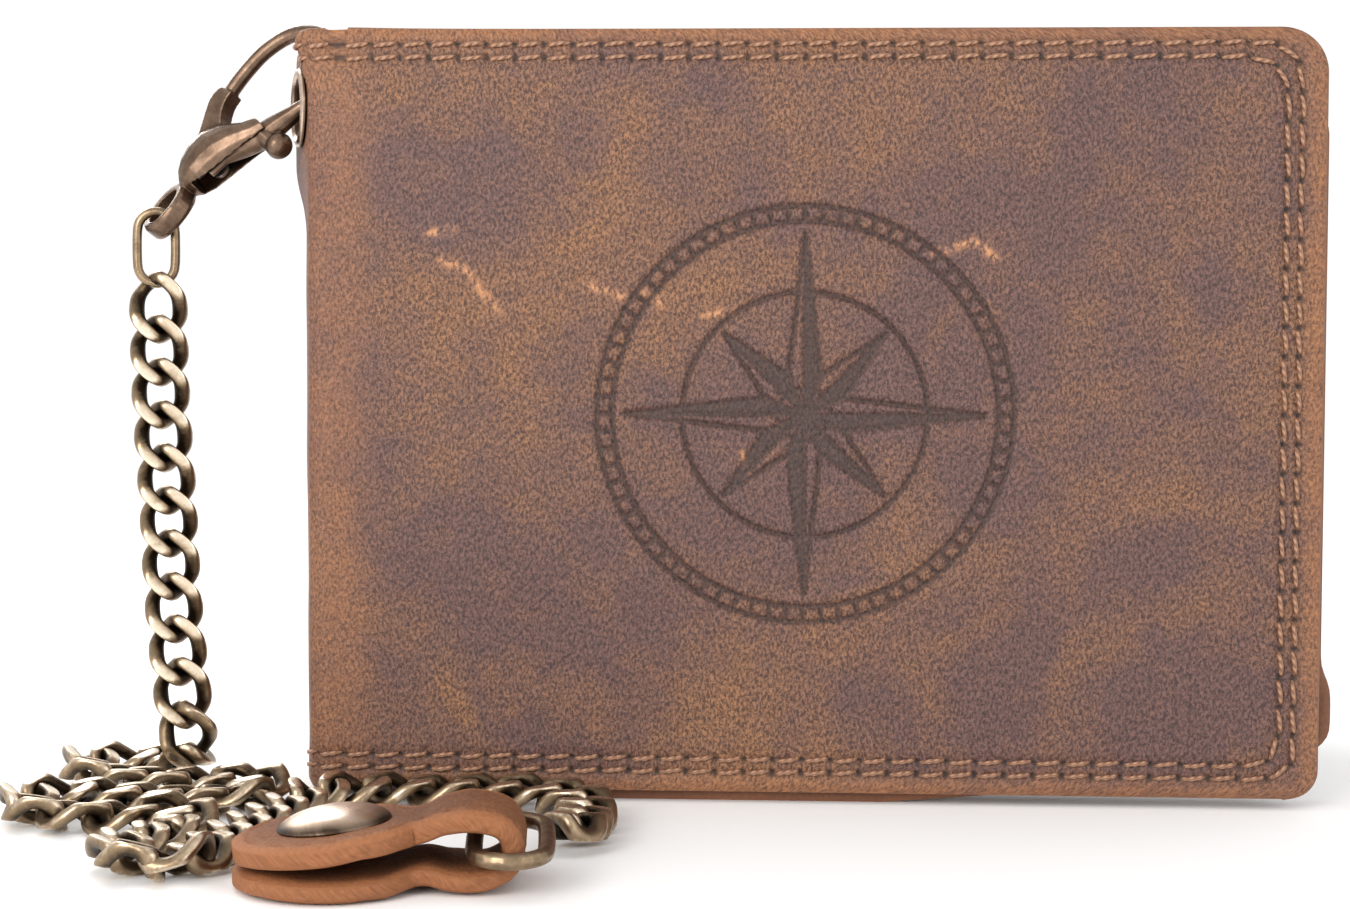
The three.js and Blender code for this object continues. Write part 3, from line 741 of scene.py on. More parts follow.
def make_outer_leather(material):
    fine, coarse, back_step = ((0.24, 0.42, 0.6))
    fold, fold_at = resampled(plan_path(), step=0.75)
    left = -RIGHT + 5.4
    front_x = (stepped(left, RIGHT, -48.5, 47.5, fine, coarse)[::-1][:-1] - left) / (RIGHT - left)
    front_count = len(front_x)
    back_end = np.array(opened(RIGHT, BACK_Y))
    back_start = fold[-1]
    back_length = np.linalg.norm(back_end - back_start)
    back_t = np.linspace(0, 1, int(back_length / back_step))[1:]
    levels = row_heights(fine, coarse)
    rows, cols = len(levels), front_count + len(fold) + len(back_t)

    # the heights of the top and bottom edges along the sheet
    share = np.concatenate([np.zeros(front_count), fold_at / fold_at[-1], np.ones(len(back_t))])
    fold_y = np.concatenate([np.full(front_count, -50.0), fold[:, 1], np.full(len(back_t), 60.0)])
    high = TOP - 0.15 * np.sin(share * np.pi) - 2.3 * np.exp(-((fold_y - 3.2) / 2.9) ** 2)
    high = high - 1.3 * np.exp(-(((fold_y - 8.4) / 1.8) ** 2))
    low = FRONT_LOW[2] * (1 - share)
    z = low[None, :] + levels[:, None] * (high - low)[None, :]

    x = np.zeros((rows, cols))
    y = np.zeros((rows, cols))
    inset = rounded_ends(z[:, :1], FRONT_LOW[2], TOP, BOTTOM_RADIUS, TOP_RADIUS)
    x[:, :front_count] = left + front_x[None, :] * (RIGHT - inset - left)
    y[:, :front_count] = FRONT_Y
    x[:, front_count:front_count + len(fold)] = fold[:, 0]
    y[:, front_count:front_count + len(fold)] = fold[:, 1]
    direction = (back_end - back_start) / back_length
    back_inset = rounded_ends(z[:, -1:], 0, TOP, BOTTOM_RADIUS, TOP_RADIUS)
    reach = back_t[None, :] * (back_length - back_inset)
    x[:, front_count + len(fold):] = back_start[0] + reach * direction[0]
    y[:, front_count + len(fold):] = back_start[1] + reach * direction[1]

    middle = rows // 2
    tangent = np.gradient(np.stack([x[middle], y[middle]], 1), axis=0)
    tangent /= np.linalg.norm(tangent, axis=1)[:, None]
    normal = np.stack([tangent[:, 1], -tangent[:, 0]], 1)
    if normal[0, 1] > 0:
        normal = -normal
    thick = np.interp(share, [0, 0.12, 0.3, 0.75, 0.95, 1],
            [COVER_THICK, 1.65, SPINE_THICK, SPINE_THICK, 1.6, COVER_THICK])

    distance_along = np.concatenate([[0], np.cumsum(np.hypot(np.diff(x[middle]), np.diff(y[middle])))])
    fold_end = front_count + len(fold)
    front_mask = np.broadcast_to(np.arange(cols) < front_count, (rows, cols))
    back_mask = np.broadcast_to(np.arange(cols) >= fold_end, (rows, cols))

    # distance to the nearest cut edge
    edge = np.minimum(z - low[None, :], high[None, :] - z)
    right_front = np.where(front_mask, (RIGHT - inset) - x, 99)
    right_back = np.where(back_mask,
            (back_length - back_inset) - np.pad(reach, ((0, 0), (front_count + len(fold), 0))), 99)
    edge = np.minimum(edge, np.minimum(right_front, right_back))

    # press marks the pressed lines and areas; the material paints them darker, partly as painted shade in
    # the grooves
    press = np.zeros((rows, cols))
    depth = np.zeros((rows, cols))
    flat_x = np.where(front_mask, x, RIGHT - distance_along[None, :])
    lines, areas = motif()
    for line in lines:
        d = np.where(front_mask, stroke_distance(x, z, line), 9)
        groove = 1 / (1 + (d / LINE_HALF_WIDTH) ** 4)
        press = np.maximum(press, groove)
        depth = np.maximum(depth, LINE_DEPTH * groove)
    for area in areas:
        closed = np.concatenate([area, area[:1]])
        d = np.where(front_mask, stroke_distance(x, z, closed), 9)
        within = inside_outline(x, z, area) & front_mask
        floor = np.where(within, 1.0, 1 / (1 + (d / AREA_EDGE) ** 4))
        press = np.maximum(press, floor)
        depth = np.maximum(depth, AREA_DEPTH * floor)

    scuff = np.zeros((rows, cols))
    for line in SCUFFS:
        d = np.where(front_mask, stroke_distance(x, z, smooth(*line) if len(line) > 2 else straight(*line)),
                9)
        scuff = np.maximum(scuff, np.exp(-((d / 0.55) ** 2)))

    # stitch holes: dented, and marked to be painted near black as painted shade inside them
    hole_shade = np.zeros((rows, cols))
    rows_front = stitch_rows(FRONT_LOW[2], TOP, -RIGHT - 1.5)
    rows_back = stitch_rows(0.2, TOP, -RIGHT + 5)
    shut_x = np.broadcast_to(HINGE[0] + 3.6
            + np.maximum(distance_along - distance_along[front_count + len(fold) - 1], 0), z.shape)
    for grid_x, mask, stitched in ((flat_x, ~back_mask, rows_front), (shut_x, back_mask, rows_back)):
        for row in stitched:
            d = np.where(mask, stroke_distance(grid_x, z, row), 9)
            depth = np.maximum(depth, 0.20 * np.exp(-((d / 0.7) ** 2)))
            close = d < 1.2
            gx, gz = grid_x[close], z[close]
            near = np.full(gx.shape, 9.0)
            for px, pz in row:
                near = np.minimum(near, np.hypot(gx - px, gz - pz))
            spot = np.exp(-((near / 0.42) ** 4))
            hole_shade[close] = np.maximum(hole_shade[close], spot)
            depth[close] = np.maximum(depth[close], 0.55 * spot)
    # eased by small waves and rolled over at the cut edges
    wave = 0.22 * value_noise(distance_along[None, :] + 0 * z, z, 3,
            24) + 0.08 * value_noise(distance_along[None, :] + 0 * z, z, 4, 7)
    wave *= np.clip(edge / 6, 0, 1)
    roll = 0.45 * np.exp(-((np.maximum(edge, 0) / 0.55) ** 1.5))
    move = wave * 0.7 - depth - roll
    x = x + fold_shift(fold_y[None, :], z)
    outer = np.stack([x + normal[:, 0] * move, y + normal[:, 1] * move, z], 2)
    back = wave * 0.5 - thick[None, :] + 0.5 * roll
    inner = np.stack([x + normal[:, 0] * back, y + normal[:, 1] * back, z], 2)

    # the eyelet's hole
    facet = outer[:, :, :2] - EYELET
    across = facet @ FACET_ALONG
    far = np.hypot(across, z - EYELET_Z)
    near_facet = np.abs(facet @ FACET_NORMAL) < 3.5
    hit = near_facet & (far < EYELET_CUT)
    keep = ~(hit[:-1, :-1] | hit[1:, :-1] | hit[:-1, 1:] | hit[1:, 1:])
    ring = np.zeros((rows, cols), bool)
    for a, b in ((0, 0), (0, 1), (1, 0), (1, 1)):
        ring[a:rows - 1 + a, b:cols - 1 + b] |= ~keep
    ring &= near_facet & (far < EYELET_CUT + 1.6) & ~hit
    pull = np.where(ring, (EYELET_CUT / np.maximum(far, 1e-6) - 1), 0)
    for grid in (outer, inner):
        grid[:, :, 0] += pull * across * FACET_ALONG[0]
        grid[:, :, 1] += pull * across * FACET_ALONG[1]
        grid[:, :, 2] += pull * (z - EYELET_Z)

    into = distance_along - distance_along[front_count]
    beyond = distance_along[front_count + len(fold) - 1] - distance_along
    fold_pale = 0.6 * np.where(into < 0, np.exp(-((into / 3.5) ** 2)), 1 / (1 + (into / 8.0) ** 4))
    fold_pale = np.maximum(fold_pale,
            0.5 * np.where(beyond < 0, np.exp(-((beyond / 4.0) ** 2)), 1 / (1 + (beyond / 4.0) ** 4)))
    near_edge = np.exp(-((np.maximum(edge, 0) / 2.2) ** 2)) * 0.95
    pale = np.maximum(near_edge, np.broadcast_to(fold_pale, (rows, cols)))
    uv = np.stack([np.broadcast_to(distance_along, (rows, cols)), z], 2)
    attributes = {"pressed": press, "hole_shade": hole_shade, "edge": pale, "scuff": scuff}
    piece = sheet_piece("outer_leather", outer, inner, material, keep, attributes, uv, bulge=0.35, rings=4)
    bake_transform(piece)
    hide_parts("front_cover", "spine", "back_cover")
    plan = np.stack([x[middle], y[middle]], 1)

    def on_front(flat, height_z, lift):
        s = RIGHT - flat
        px = np.interp(s, distance_along, plan[:, 0] + normal[:, 0] * lift)
        py = np.interp(s, distance_along, plan[:, 1] + normal[:, 1] * lift)
        return np.array([px + float(fold_shift(py, height_z)) * (s > RIGHT - left), py, height_z])

    return rows_front, rows_back, on_front


def make_cover_stitches(material, rows_front, rows_back, on_front):

    def on_back(x, z, height):
        bx, by = opened(x, BACK_Y + height)
        return np.array([bx, by, z])

    piece = make_stitches("front_stitching", rows_front, on_front, material, 11)
    dress(piece, "wallet", "leather")
    piece = make_stitches("back_stitching", rows_back, on_back, material, 12)
    dress(piece, "back", "leather")


# ---- linings, pockets and the leaf ----


def flat_panel(name, node, material, body, span, heights, y_front, thick, place=None, radii=(0, 0, 0, 0),
               window=None, floor=None, seams=(), seed=0, right_edge=None):
    """A thin leather panel in the X-Z plane. radii are top left, top right, bottom right, bottom left."""
    step = 1.1
    place = place or (lambda x, y: (x, y))
    (x0, x1), (z0, z1) = span, heights
    count_z = max(6, int((z1 - z0) / step))
    ends = (1 - np.cos(np.linspace(0, math.pi / 2, 7))) * 3.2 / max(z1 - z0, 8)
    levels = np.concatenate([ends[:-1], np.linspace(ends[-1], 1 - ends[-1], count_z), (1 - ends[:-1])[::-1]])
    count_x = max(6, int((x1 - x0) / step))
    u = np.linspace(0, 1, count_x)
    if window:
        (wx0, wx1), (wz0, wz1) = window
        for value in (wx0, wx1):
            u[np.argmin(np.abs(x0 + u * (x1 - x0) - value))] = (value - x0) / (x1 - x0)
        for value in (wz0, wz1):
            levels[np.argmin(np.abs(z0 + levels * (z1 - z0) - value))] = (value - z0) / (z1 - z0)
    z = np.broadcast_to((z0 + levels * (z1 - z0))[:, None], (len(levels), count_x)).copy()
    left = x0 + rounded_ends(z, z0, z1, radii[3], radii[0])
    right = x1 - rounded_ends(z, z0, z1, radii[2], radii[1])
    if right_edge is not None:
        right = right + right_edge(z)
    x = left + u[None, :] * (right - left)
    if floor is not None:
        z = z - np.clip(1 - (z - z0) / 6, 0, 1) * (z0 - floor(x))
    edge = np.minimum(np.minimum(x - left, right - x), np.minimum(z - z.min(0)[None, :], z1 - z))
    soft = np.clip(edge / 4, 0, 1)
    wave = 0.10 * value_noise(x, z, 20 + seed, 17) * soft
    hole_shade = np.zeros(z.shape)
    depth = np.zeros(z.shape)
    for seam in seams:
        d = stroke_distance(x, z, seam)
        depth = np.maximum(depth, 0.16 * np.exp(-((d / 0.8) ** 2)))
    y = y_front + wave + depth + 0.18 * np.exp(-(edge / 0.5) ** 2)
    y_back = np.maximum(y_front + thick + wave * 0.5 - 0.1 * np.exp(-(edge / 0.5) ** 2), y + 0.3)
    keep = None
    if window:
        cx = (x[:-1, :-1] + x[1:, 1:]) / 2
        cz = (z[:-1, :-1] + z[1:, 1:]) / 2
        keep = ~((cx > wx0) & (cx < wx1) & (cz > wz0) & (cz < wz1))
    outer = np.stack([*place(x, y), z], 2)
    inner = np.stack([*place(x, y_back), z], 2)
    pale = np.exp(-(edge / 1.3) ** 2)
    uv = np.stack([x + 37 * seed, z], 2)
    piece = sheet_piece(name, outer, inner, material, keep, {"edge": pale, "hole_shade": hole_shade}, uv, bulge=0.12,
            rings=2)
    dress(piece, body, "lining_leather", node)


def panel_thread(name, rows, y, material, body, place=None, seed=5, slot="lining_leather"):
    place = place or (lambda a, b: (a, b))

    def to_world(x, z, height):
        px, py = place(x, y - height)
        return np.array([px, py, z])

    piece = make_stitches(name, [resampled(row, step=3.0)[0] for row in rows], to_world, material, seed,
            lift=0.12)
    dress(piece, body, slot)


def make_front_inside(material):
    def lip(x):
        return np.interp(x, [-34, -28, 10, 30], [1.6, 0.0, 0.0, 1.6])

    flat_panel("front_lining_leather", "front_lining", material, "wallet", (-RIGHT + 6.5, RIGHT - 1),
            (1.6, TOP - 2), -0.45, 0.9,
                       radii=(0, 4.5, 2.5, 0), floor=lip, seed=1)
    for k in range(3):
        low, high = node_box(f"card_pocket_{k + 1}")
        flat_panel(f"card_pocket_leather_{k + 1}", f"card_pocket_{k + 1}", material, "wallet",
                (low[0], high[0]), (low[2], high[2]),
                           low[1] + 0.05, 0.62, radii=(3, 3, 2, 0), seed=2 + k)


def make_leaf(material, thread, film):
    low, high = node_box("leaf_panel")
    window = ((-8, 50), (16, 74))

    def edge(z):
        return 1.25 * np.exp(-(((z - 11.2) / 4.6) ** 4)) - 0.9 * np.clip((z - 83) / 3, 0, 1) ** 2

    flat_panel("leaf_leather", "leaf_panel", material, "leaf", (low[0], RIGHT + 1.9), (low[2], high[2]),
            low[1] + 0.05, 1.25,
                       radii=(0, 3, 3, 0), window=window, right_edge=edge, seed=7)
    for k in range(2):
        p_low, p_high = node_box(f"leaf_pocket_{k + 1}")
        flat_panel(f"leaf_pocket_leather_{k + 1}", f"leaf_pocket_{k + 1}", material, "leaf",
                (p_low[0], p_high[0]), (p_low[2], p_high[2]),
                            p_low[1] + 0.02, 0.5, radii=(3, 3, 1.5, 1.5), seed=9 + k)
    frame["nodes"]["id_window"].data.materials.clear()
    frame["nodes"]["id_window"].data.materials.append(film)
    (x0, x1), (z0, z1) = window
    inset = 1.6
    ring = straight((x0 - inset, z0 - inset), (x1 + inset, z0 - inset), (x1 + inset, z1 + inset),
            (x0 - inset, z1 + inset),
                    (x0 - inset, z0 - inset))
    panel_thread("window_stitching", [ring], low[1] + 0.12, thread, "leaf", seed=21)


def make_back_inside(material, thread):
    lining_y = BACK_Y - COVER_THICK - 0.3 - 1.0
    flat_panel("back_lining_leather", "back_lining", material, "back", (-RIGHT + 6, RIGHT - 1.2), (1.5, 89),
            lining_y + 0.03, 0.9,
                       place=opened, radii=(0, 3, 2.5, 0), seed=12)
    coin_y = lining_y - 5.3
    x0, x1 = -22, 57
    row = straight((x0 + 2.4, 62), (x0 + 2.4, 10.4), (x1 - 2.4, 10.4), (x1 - 2.4, 62))
    flat_panel("coin_pocket_leather", "coin_pocket_front", material, "back", (x0, x1), (8, 64),
            coin_y + 0.05, 0.8, place=opened,
                       radii=(1, 1, 3, 3), seams=[row], seed=13)
    panel_thread("coin_pocket_stitching", [row], coin_y + 0.05, thread, "back", opened, 23)
    y0, y1 = coin_y + 1.2, lining_y - 0.3
    make_gusset("coin_gusset_leather_left", "coin_gusset_left", material, x0 + 1.1, (12, 64), y0, y1)
    make_gusset("coin_gusset_leather_right", "coin_gusset_right", material, x1 - 1.1, (12, 64), y0, y1)
    make_bottom_gusset(material, (x0 + 2.2, x1 - 2.2), y0, y1)
    make_coin_flap(material, thread, coin_y, (x0, x1), y1)


def make_gusset(name, node, material, x, heights, y0, y1):
    """A strip folded inwards between the pocket's front and the lining."""
    z = np.linspace(*heights, 40)
    t = np.linspace(0, 1, 9)
    fold = 0.45 * np.sin(np.pi * t) - 0.2
    side = 1 if x > 0 else -1
    gx = x - side * fold[None, :] + 0 * z[:, None]
    gy = y0 + t[None, :] * (y1 - y0) + 0 * z[:, None]
    gz = z[:, None] + 0 * gy
    outer = np.stack([*opened(gx + side * 0.3, gy), gz], 2)
    inner = np.stack([*opened(gx - side * 0.3, gy), gz], 2)
    if side > 0:
        outer, inner = inner, outer
    flat = np.zeros(gz.shape)
    piece = sheet_piece(name, outer, inner, material, None, {"edge": flat, "hole_shade": flat},
            np.stack([gy, gz], 2), 0.05, 1)
    dress(piece, "back", "lining_leather", node)


def make_bottom_gusset(material, span, y0, y1):
    x = np.linspace(*span, 60)
    t = np.linspace(0, 1, 9)
    gz = 9.6 + 0.4 * np.sin(np.pi * t)[None, :] + 0 * x[:, None]
    gx = x[:, None] + 0 * gz
    gy = y0 + t[None, :] * (y1 - y0) + 0 * gx
    outer = np.stack([*opened(gx, gy), gz - 0.3], 2)
    inner = np.stack([*opened(gx, gy), gz + 0.3], 2)
    flat = np.zeros(gz.shape)
    piece = sheet_piece("coin_gusset_leather_bottom", outer, inner, material, None,
            {"edge": flat, "hole_shade": flat},
                        np.stack([gx, gy], 2), 0.05, 1)
    dress(piece, "back", "lining_leather", "coin_gusset_bottom")


def make_coin_flap(material, thread, coin_y, span, root_y):
    """The flap folds over the pocket's mouth from the lining."""
    flap_y = coin_y - 1.3
    profile = catmull([(root_y, 67.6), (root_y - 3, 67.7), (flap_y + 1.6, 67.5), (flap_y + 0.35, 66.3),
            (flap_y + 0.1, 63),
                       (flap_y, 56), (flap_y + 0.05, 50.2)], 10)
    profile, at = resampled(profile, step=0.8)
    x = np.linspace(*span, 74)
    tangent = np.gradient(profile, axis=0)
    tangent /= np.linalg.norm(tangent, axis=1)[:, None]
    normal = np.stack([tangent[:, 1], -tangent[:, 0]], 1)
    normal *= -1 if normal[-1, 0] > 0 else 1
    end = at[-1] - at
    radius = 5.0
    inset = radius - np.sqrt(np.maximum(radius**2 - np.clip(radius - end, 0, radius) ** 2, 0))
    middle = (span[0] + span[1]) / 2
    half = (span[1] - span[0]) / 2
    gx = middle + (x - middle)[None, :] * ((half - inset) / half)[:, None]
    gy = profile[:, 0][:, None] + 0 * gx
    gz = profile[:, 1][:, None] + 0 * gx
    edge = np.minimum(np.minimum(gx - gx.min(1)[:, None], gx.max(1)[:, None] - gx), end[:, None] + 0 * gx)
    outer = np.stack([*opened(gx, gy + 0.12 * normal[:, 0][:, None]), gz + 0.12 * normal[:, 1][:, None]], 2)
    inner = np.stack([*opened(gx, gy - 0.75 * normal[:, 0][:, None]), gz - 0.75 * normal[:, 1][:, None]], 2)
    pale = np.exp(-(edge / 1.3) ** 2)
    uv = np.stack([gx, at[:, None] + 0 * gx], 2)
    piece = sheet_piece("coin_flap_leather", inner, outer, material, None, {"edge": pale, "hole_shade": 0 * gx},
            uv, 0.12, 2)
    dress(piece, "coin_lid", "lining_leather", "coin_flap")
    x0, x1 = span
    row = smooth((x0 + 1.8, 65), (x0 + 1.8, 58), (x0 + 2.2, 54.6), (x0 + 5.4, 51.9), (x0 + 12, 51.8),
            (x1 - 12, 51.8),
                 (x1 - 5.4, 51.9), (x1 - 2.2, 54.6), (x1 - 1.8, 58), (x1 - 1.8, 65))
    panel_thread("coin_flap_stitching", [row], flap_y - 0.1, thread, "coin_lid", opened, 25)
    cap_x = middle
    cap = [(0, -1.05), (2.2, -1.0), (3.6, -0.85), (4.35, -0.6), (4.6, -0.32), (4.5, -0.15), (0, -0.15)]
    piece = turned_piece("coin_snap_dome", cap, BRASS, lambda p: coin_place(p, cap_x, flap_y))
    dress(piece, "coin_lid", "antique_brass")


def coin_place(p, cap_x, flap_y):
    px, py = opened(cap_x + p[:, 0], flap_y + p[:, 2])
    return np.stack([px, py, 56 + p[:, 1]], 1)


def turned_piece(name, profile, material, place, segments=64, wear=None):
    """A turned shape: profile points are (radius, height), turned about the height axis."""
    profile = np.asarray(profile, float)
    fine = [profile[0]]
    for a, b in zip(profile[:-1], profile[1:]):
        for t in (0.25, 0.5, 0.75, 1.0):
            fine.append(a + (b - a) * t)
    profile = np.array(fine)
    for _ in range(2):
        inner = (profile[:-2] + 2 * profile[1:-1] + profile[2:]) / 4
        profile = np.concatenate([profile[:1], inner, profile[-1:]])
    closed = profile[0][0] > 1e-6
    points, faces = [], []
    rings = [p for p in profile if p[0] > 1e-6]
    angle = np.arange(segments) / segments * TAU
    for r, h in rings:
        points.append(np.stack([r * np.cos(angle), r * np.sin(angle), np.full(segments, h)], 1))
    count = len(rings)
    faces = [f for f in tube_faces(count, segments, closed) if len(f) == 4]
    points = np.concatenate(points)
    if not closed:
        tip = [(0, 0, profile[0][1]), (0, 0, profile[-1][1])]
        points = np.concatenate([points, tip])
        first, last = len(points) - 2, len(points) - 1
        for k in range(segments):
            m = (k + 1) % segments
            faces.append([first, m, k])
            faces.append([last, (count - 1) * segments + k, (count - 1) * segments + m])
    values = np.full(len(points), 0.62) if wear is None else wear(points)
    placed = place(points)
    piece = make_object(name, placed, faces, material, {"wear": values})
    tidy_normals(piece)
    return piece


def tidy_normals(piece):
    work = bmesh.new()
    work.from_mesh(piece.data)
    bmesh.ops.remove_doubles(work, verts=work.verts, dist=1e-7)
    bmesh.ops.recalc_face_normals(work, faces=work.faces)
    work.to_mesh(piece.data)
    work.free()
    piece.data.update()


# ---- metal ----


def smooth_copy(name, node, material, body, voxel=0.12, rounds=10, slot="antique_brass"):
    """The node's own shape, remeshed fine and eased, with worn high places marked."""
    source = frame["nodes"][node]
    piece = bpy.data.objects.new(name, source.data.copy())
    piece.matrix_world = source.matrix_world
    bpy.context.collection.objects.link(piece)
    piece.data.materials.clear()
    piece.data.materials.append(material)
    remesh = piece.modifiers.new("remesh", "REMESH")
    remesh.mode = "VOXEL"
    remesh.voxel_size = voxel * MM
    easing = piece.modifiers.new("ease", "SMOOTH")
    easing.factor = 0.5
    easing.iterations = rounds
    graph = bpy.context.evaluated_depsgraph_get()
    mesh = bpy.data.meshes.new_from_object(piece.evaluated_get(graph))
    piece.modifiers.clear()
    piece.data = mesh
    mesh.name = name
    mesh.transform(piece.matrix_world)
    piece.matrix_world = Matrix.Identity(4)
    count = len(mesh.vertices)
    points = np.empty(count * 3)
    mesh.vertices.foreach_get("co", points)
    points = points.reshape(-1, 3) / MM
    normals = np.empty(count * 3)
    mesh.vertices.foreach_get("normal", normals)
    normals = normals.reshape(-1, 3)
    edges = np.empty(len(mesh.edges) * 2, np.int32)
    mesh.edges.foreach_get("vertices", edges)
    edges = edges.reshape(-1, 2)
    number = np.bincount(edges.ravel(), minlength=count)[:, None]
    eased = points.copy()
    for _ in range(14):
        total = np.zeros_like(points)
        np.add.at(total, edges[:, 0], eased[edges[:, 1]])
        np.add.at(total, edges[:, 1], eased[edges[:, 0]])
        eased = 0.4 * eased + 0.6 * total / number
    height = ((points - eased) * normals).sum(1)
    wear = np.clip(0.42 + height * 3.2, 0, 1)
    mesh.attributes.new("wear", "FLOAT", "POINT").data.foreach_set("value", wear.astype(np.float32))
    mesh.polygons.foreach_set("use_smooth", [True] * len(mesh.polygons))
    dress(piece, body, slot, node)
    return piece


def facet_place(points):
    """From an axis along the height to the eyelet on the spine."""
    xy = EYELET[None, :] + np.outer(points[:, 0], FACET_ALONG) + np.outer(points[:, 2], FACET_NORMAL)
    return np.stack([xy[:, 0], xy[:, 1], EYELET_Z + points[:, 1]], 1)


def make_eyelet():
    bore, outer = 3.6, 5.0

    def wear(p):
        return np.clip(0.30 + 0.5 * (p[:, 2] > 0.55) + 0.1 * (np.hypot(p[:, 0], p[:, 1]) - bore), 0, 1)

    profile = [(bore, -1.9), (bore, -0.6), (bore + 0.02, 0.2), (bore + 0.18, 0.62), (bore + 0.5, 0.86),
            (outer - 0.75, 0.93),
               (outer - 0.3, 0.78), (outer, 0.42), (outer - 0.05, 0.26), (bore + 0.7, 0.2),
               (bore + 0.42, 0.0), (bore + 0.4, -1.9)]
    piece = turned_piece("eyelet_ring", profile + profile[:1], BRASS, facet_place, 96, wear)
    dress(piece, "wallet", "antique_brass", "eyelet")


def make_clasp():
    smooth_copy("clasp_casting", "clasp_body", BRASS, "clasp", 0.11, 9)
    smooth_copy("clasp_gate_arm", "clasp_gate", BRASS, "gate", 0.11, 8)
    smooth_copy("clasp_oval_link", "clasp_link", CHAIN_BRASS, "clasp", 0.09, 8, "chain_brass")


# ---- chain ----

CHAIN_ROUTE = [
    (-81.9, 4.6, 61.4), (-81.6, 4.4, 50), (-80.7, 4.0, 37), (-79.9, 3.5, 24), (-78.6, 2.4, 13),
    (-77.6, 1.6, 7.6), (-78.4, 4.2, 3.4), (-82, 8.4, 2.0), (-87, 9.4, 1.8), (-91.4, 6.4, 1.8),
    (-90.4, 1.2, 1.8), (-85, -2.2, 1.8), (-78.5, -4.2, 1.8), (-71.6, -4.4, 1.8), (-66.6, -7.2, 1.8),
    (-66, -12.4, 1.8), (-71, -15, 1.8), (-78, -14.6, 1.8), (-85, -14, 1.8), (-90.6, -16.4, 1.8),
    (-91, -21.8, 1.8), (-86, -25.2, 1.8), (-79.4, -25.6, 1.8), (-73.6, -25, 1.8), (-69.8, -28.4, 1.8),
    (-70.4, -34, 1.8), (-72.8, -39.6, 1.8), (-72.6, -46, 1.8), (-68.6, -50.6, 1.8), (-64.8, -48.2, 1.8),
    (-64, -42, 1.8), (-62.8, -34, 1.8), (-61.4, -26, 1.8), (-60, -18, 1.8), (-57.6, -10.6, 1.8),
    (-52, -7.2, 1.8), (-45, -6.6, 1.8), (-37.4, -6.8, 1.8), (-30.6, -8.8, 1.8), (-26.2, -14, 1.8),
    (-25, -21, 1.8), (-25.2, -28, 2.2), (-25.4, -34, 3.2),
]
LINK_PITCH, LINK_WIRE, LINK_HALF_LENGTH, LINK_HALF_WIDTH, LINK_FLAT = 5.4, 0.98, 3.68, 2.7, 1.5
LINK_TWIST = math.radians(-54)


def link_shape(sides, steps):
    """One curb link about its own middle: x along the chain, y across, z out of its flat faces."""
    r = LINK_HALF_WIDTH
    straight_part = LINK_HALF_LENGTH - r
    around = []
    for a in np.linspace(-90, 90, steps // 2, endpoint=False):
        t = math.radians(a)
        around.append((straight_part + r * math.cos(t), r * math.sin(t), 0))
    for a in np.linspace(90, 270, steps // 2, endpoint=False):
        t = math.radians(a)
        around.append((-straight_part + r * math.cos(t), r * math.sin(t), 0))
    line, _ = resampled(np.array(around + around[:1]), count=steps + 1)
    line = line[:-1]
    rings = tube_points(line, LINK_WIRE, sides, closed=True)
    points = rings.reshape(-1, 3)
    core = np.repeat(line, sides, 0)
    turn = points[:, 0] / LINK_HALF_LENGTH * LINK_TWIST
    turn_core = core[:, 0] / LINK_HALF_LENGTH * LINK_TWIST
    c, s = np.cos(turn), np.sin(turn)
    out = np.stack([points[:, 0], points[:, 1] * c - points[:, 2] * s, points[:, 1] * s + points[:, 2] * c],
            1)
    core_z = core[:, 1] * np.sin(turn_core)
    high = np.abs(out[:, 2])
    ground = np.clip((high - LINK_FLAT) / 0.5, 0, 1)
    out[:, 2] = np.sign(out[:, 2]) * np.where(high > LINK_FLAT,
            LINK_FLAT + 0.10 * np.tanh((high - LINK_FLAT) / 0.5), high)
    outside = np.clip(((points[:, :2] - core[:, :2]) * core[:, :2]).sum(1) / np.linalg.norm(core[:, :2],
            axis=1), -1, 1)
    # the flats and outsides are worn bright and the insides keep their patina; the upper half of each link's
    # wire is painted a little lighter as painted light from above
    wear = 0.36 + 0.42 * ground + 0.34 * outside + 0.06 * np.sign(out[:, 2] - core_z)
    return out, np.clip(wear, 0, 1)


def chain_frames(line, at):
    tangent = np.gradient(line, axis=0)
    tangent /= np.linalg.norm(tangent, axis=1)[:, None]
    plan = tangent[:, :2] / np.maximum(np.linalg.norm(tangent[:, :2], axis=1), 0.15)[:, None]
    turning = np.gradient(np.unwrap(np.arctan2(plan[:, 1], plan[:, 0])), at)
    kernel = np.hanning(33)
    turning = np.convolve(turning, kernel / kernel.sum(), "same")
    on_floor = np.clip((9.0 - line[:, 2]) / 7.0, 0, 1)
    on_floor = on_floor * on_floor * (3 - 2 * on_floor)
    roll = np.clip(turning / 0.34, -1, 1) * math.radians(32) * on_floor
    up = np.outer(on_floor, (0, 0, 1.0)) + np.outer(1 - on_floor, (-0.22, 1.0, 0.0))
    up -= tangent * (up * tangent).sum(1)[:, None]
    up /= np.linalg.norm(up, axis=1)[:, None]
    across = np.cross(up, tangent)
    c, s = np.cos(roll)[:, None], np.sin(roll)[:, None]
    across, up = across * c - up * s, across * s + up * c
    rise = np.abs(np.sin(roll)) * 1.6 * on_floor
    return tangent, across, up, rise


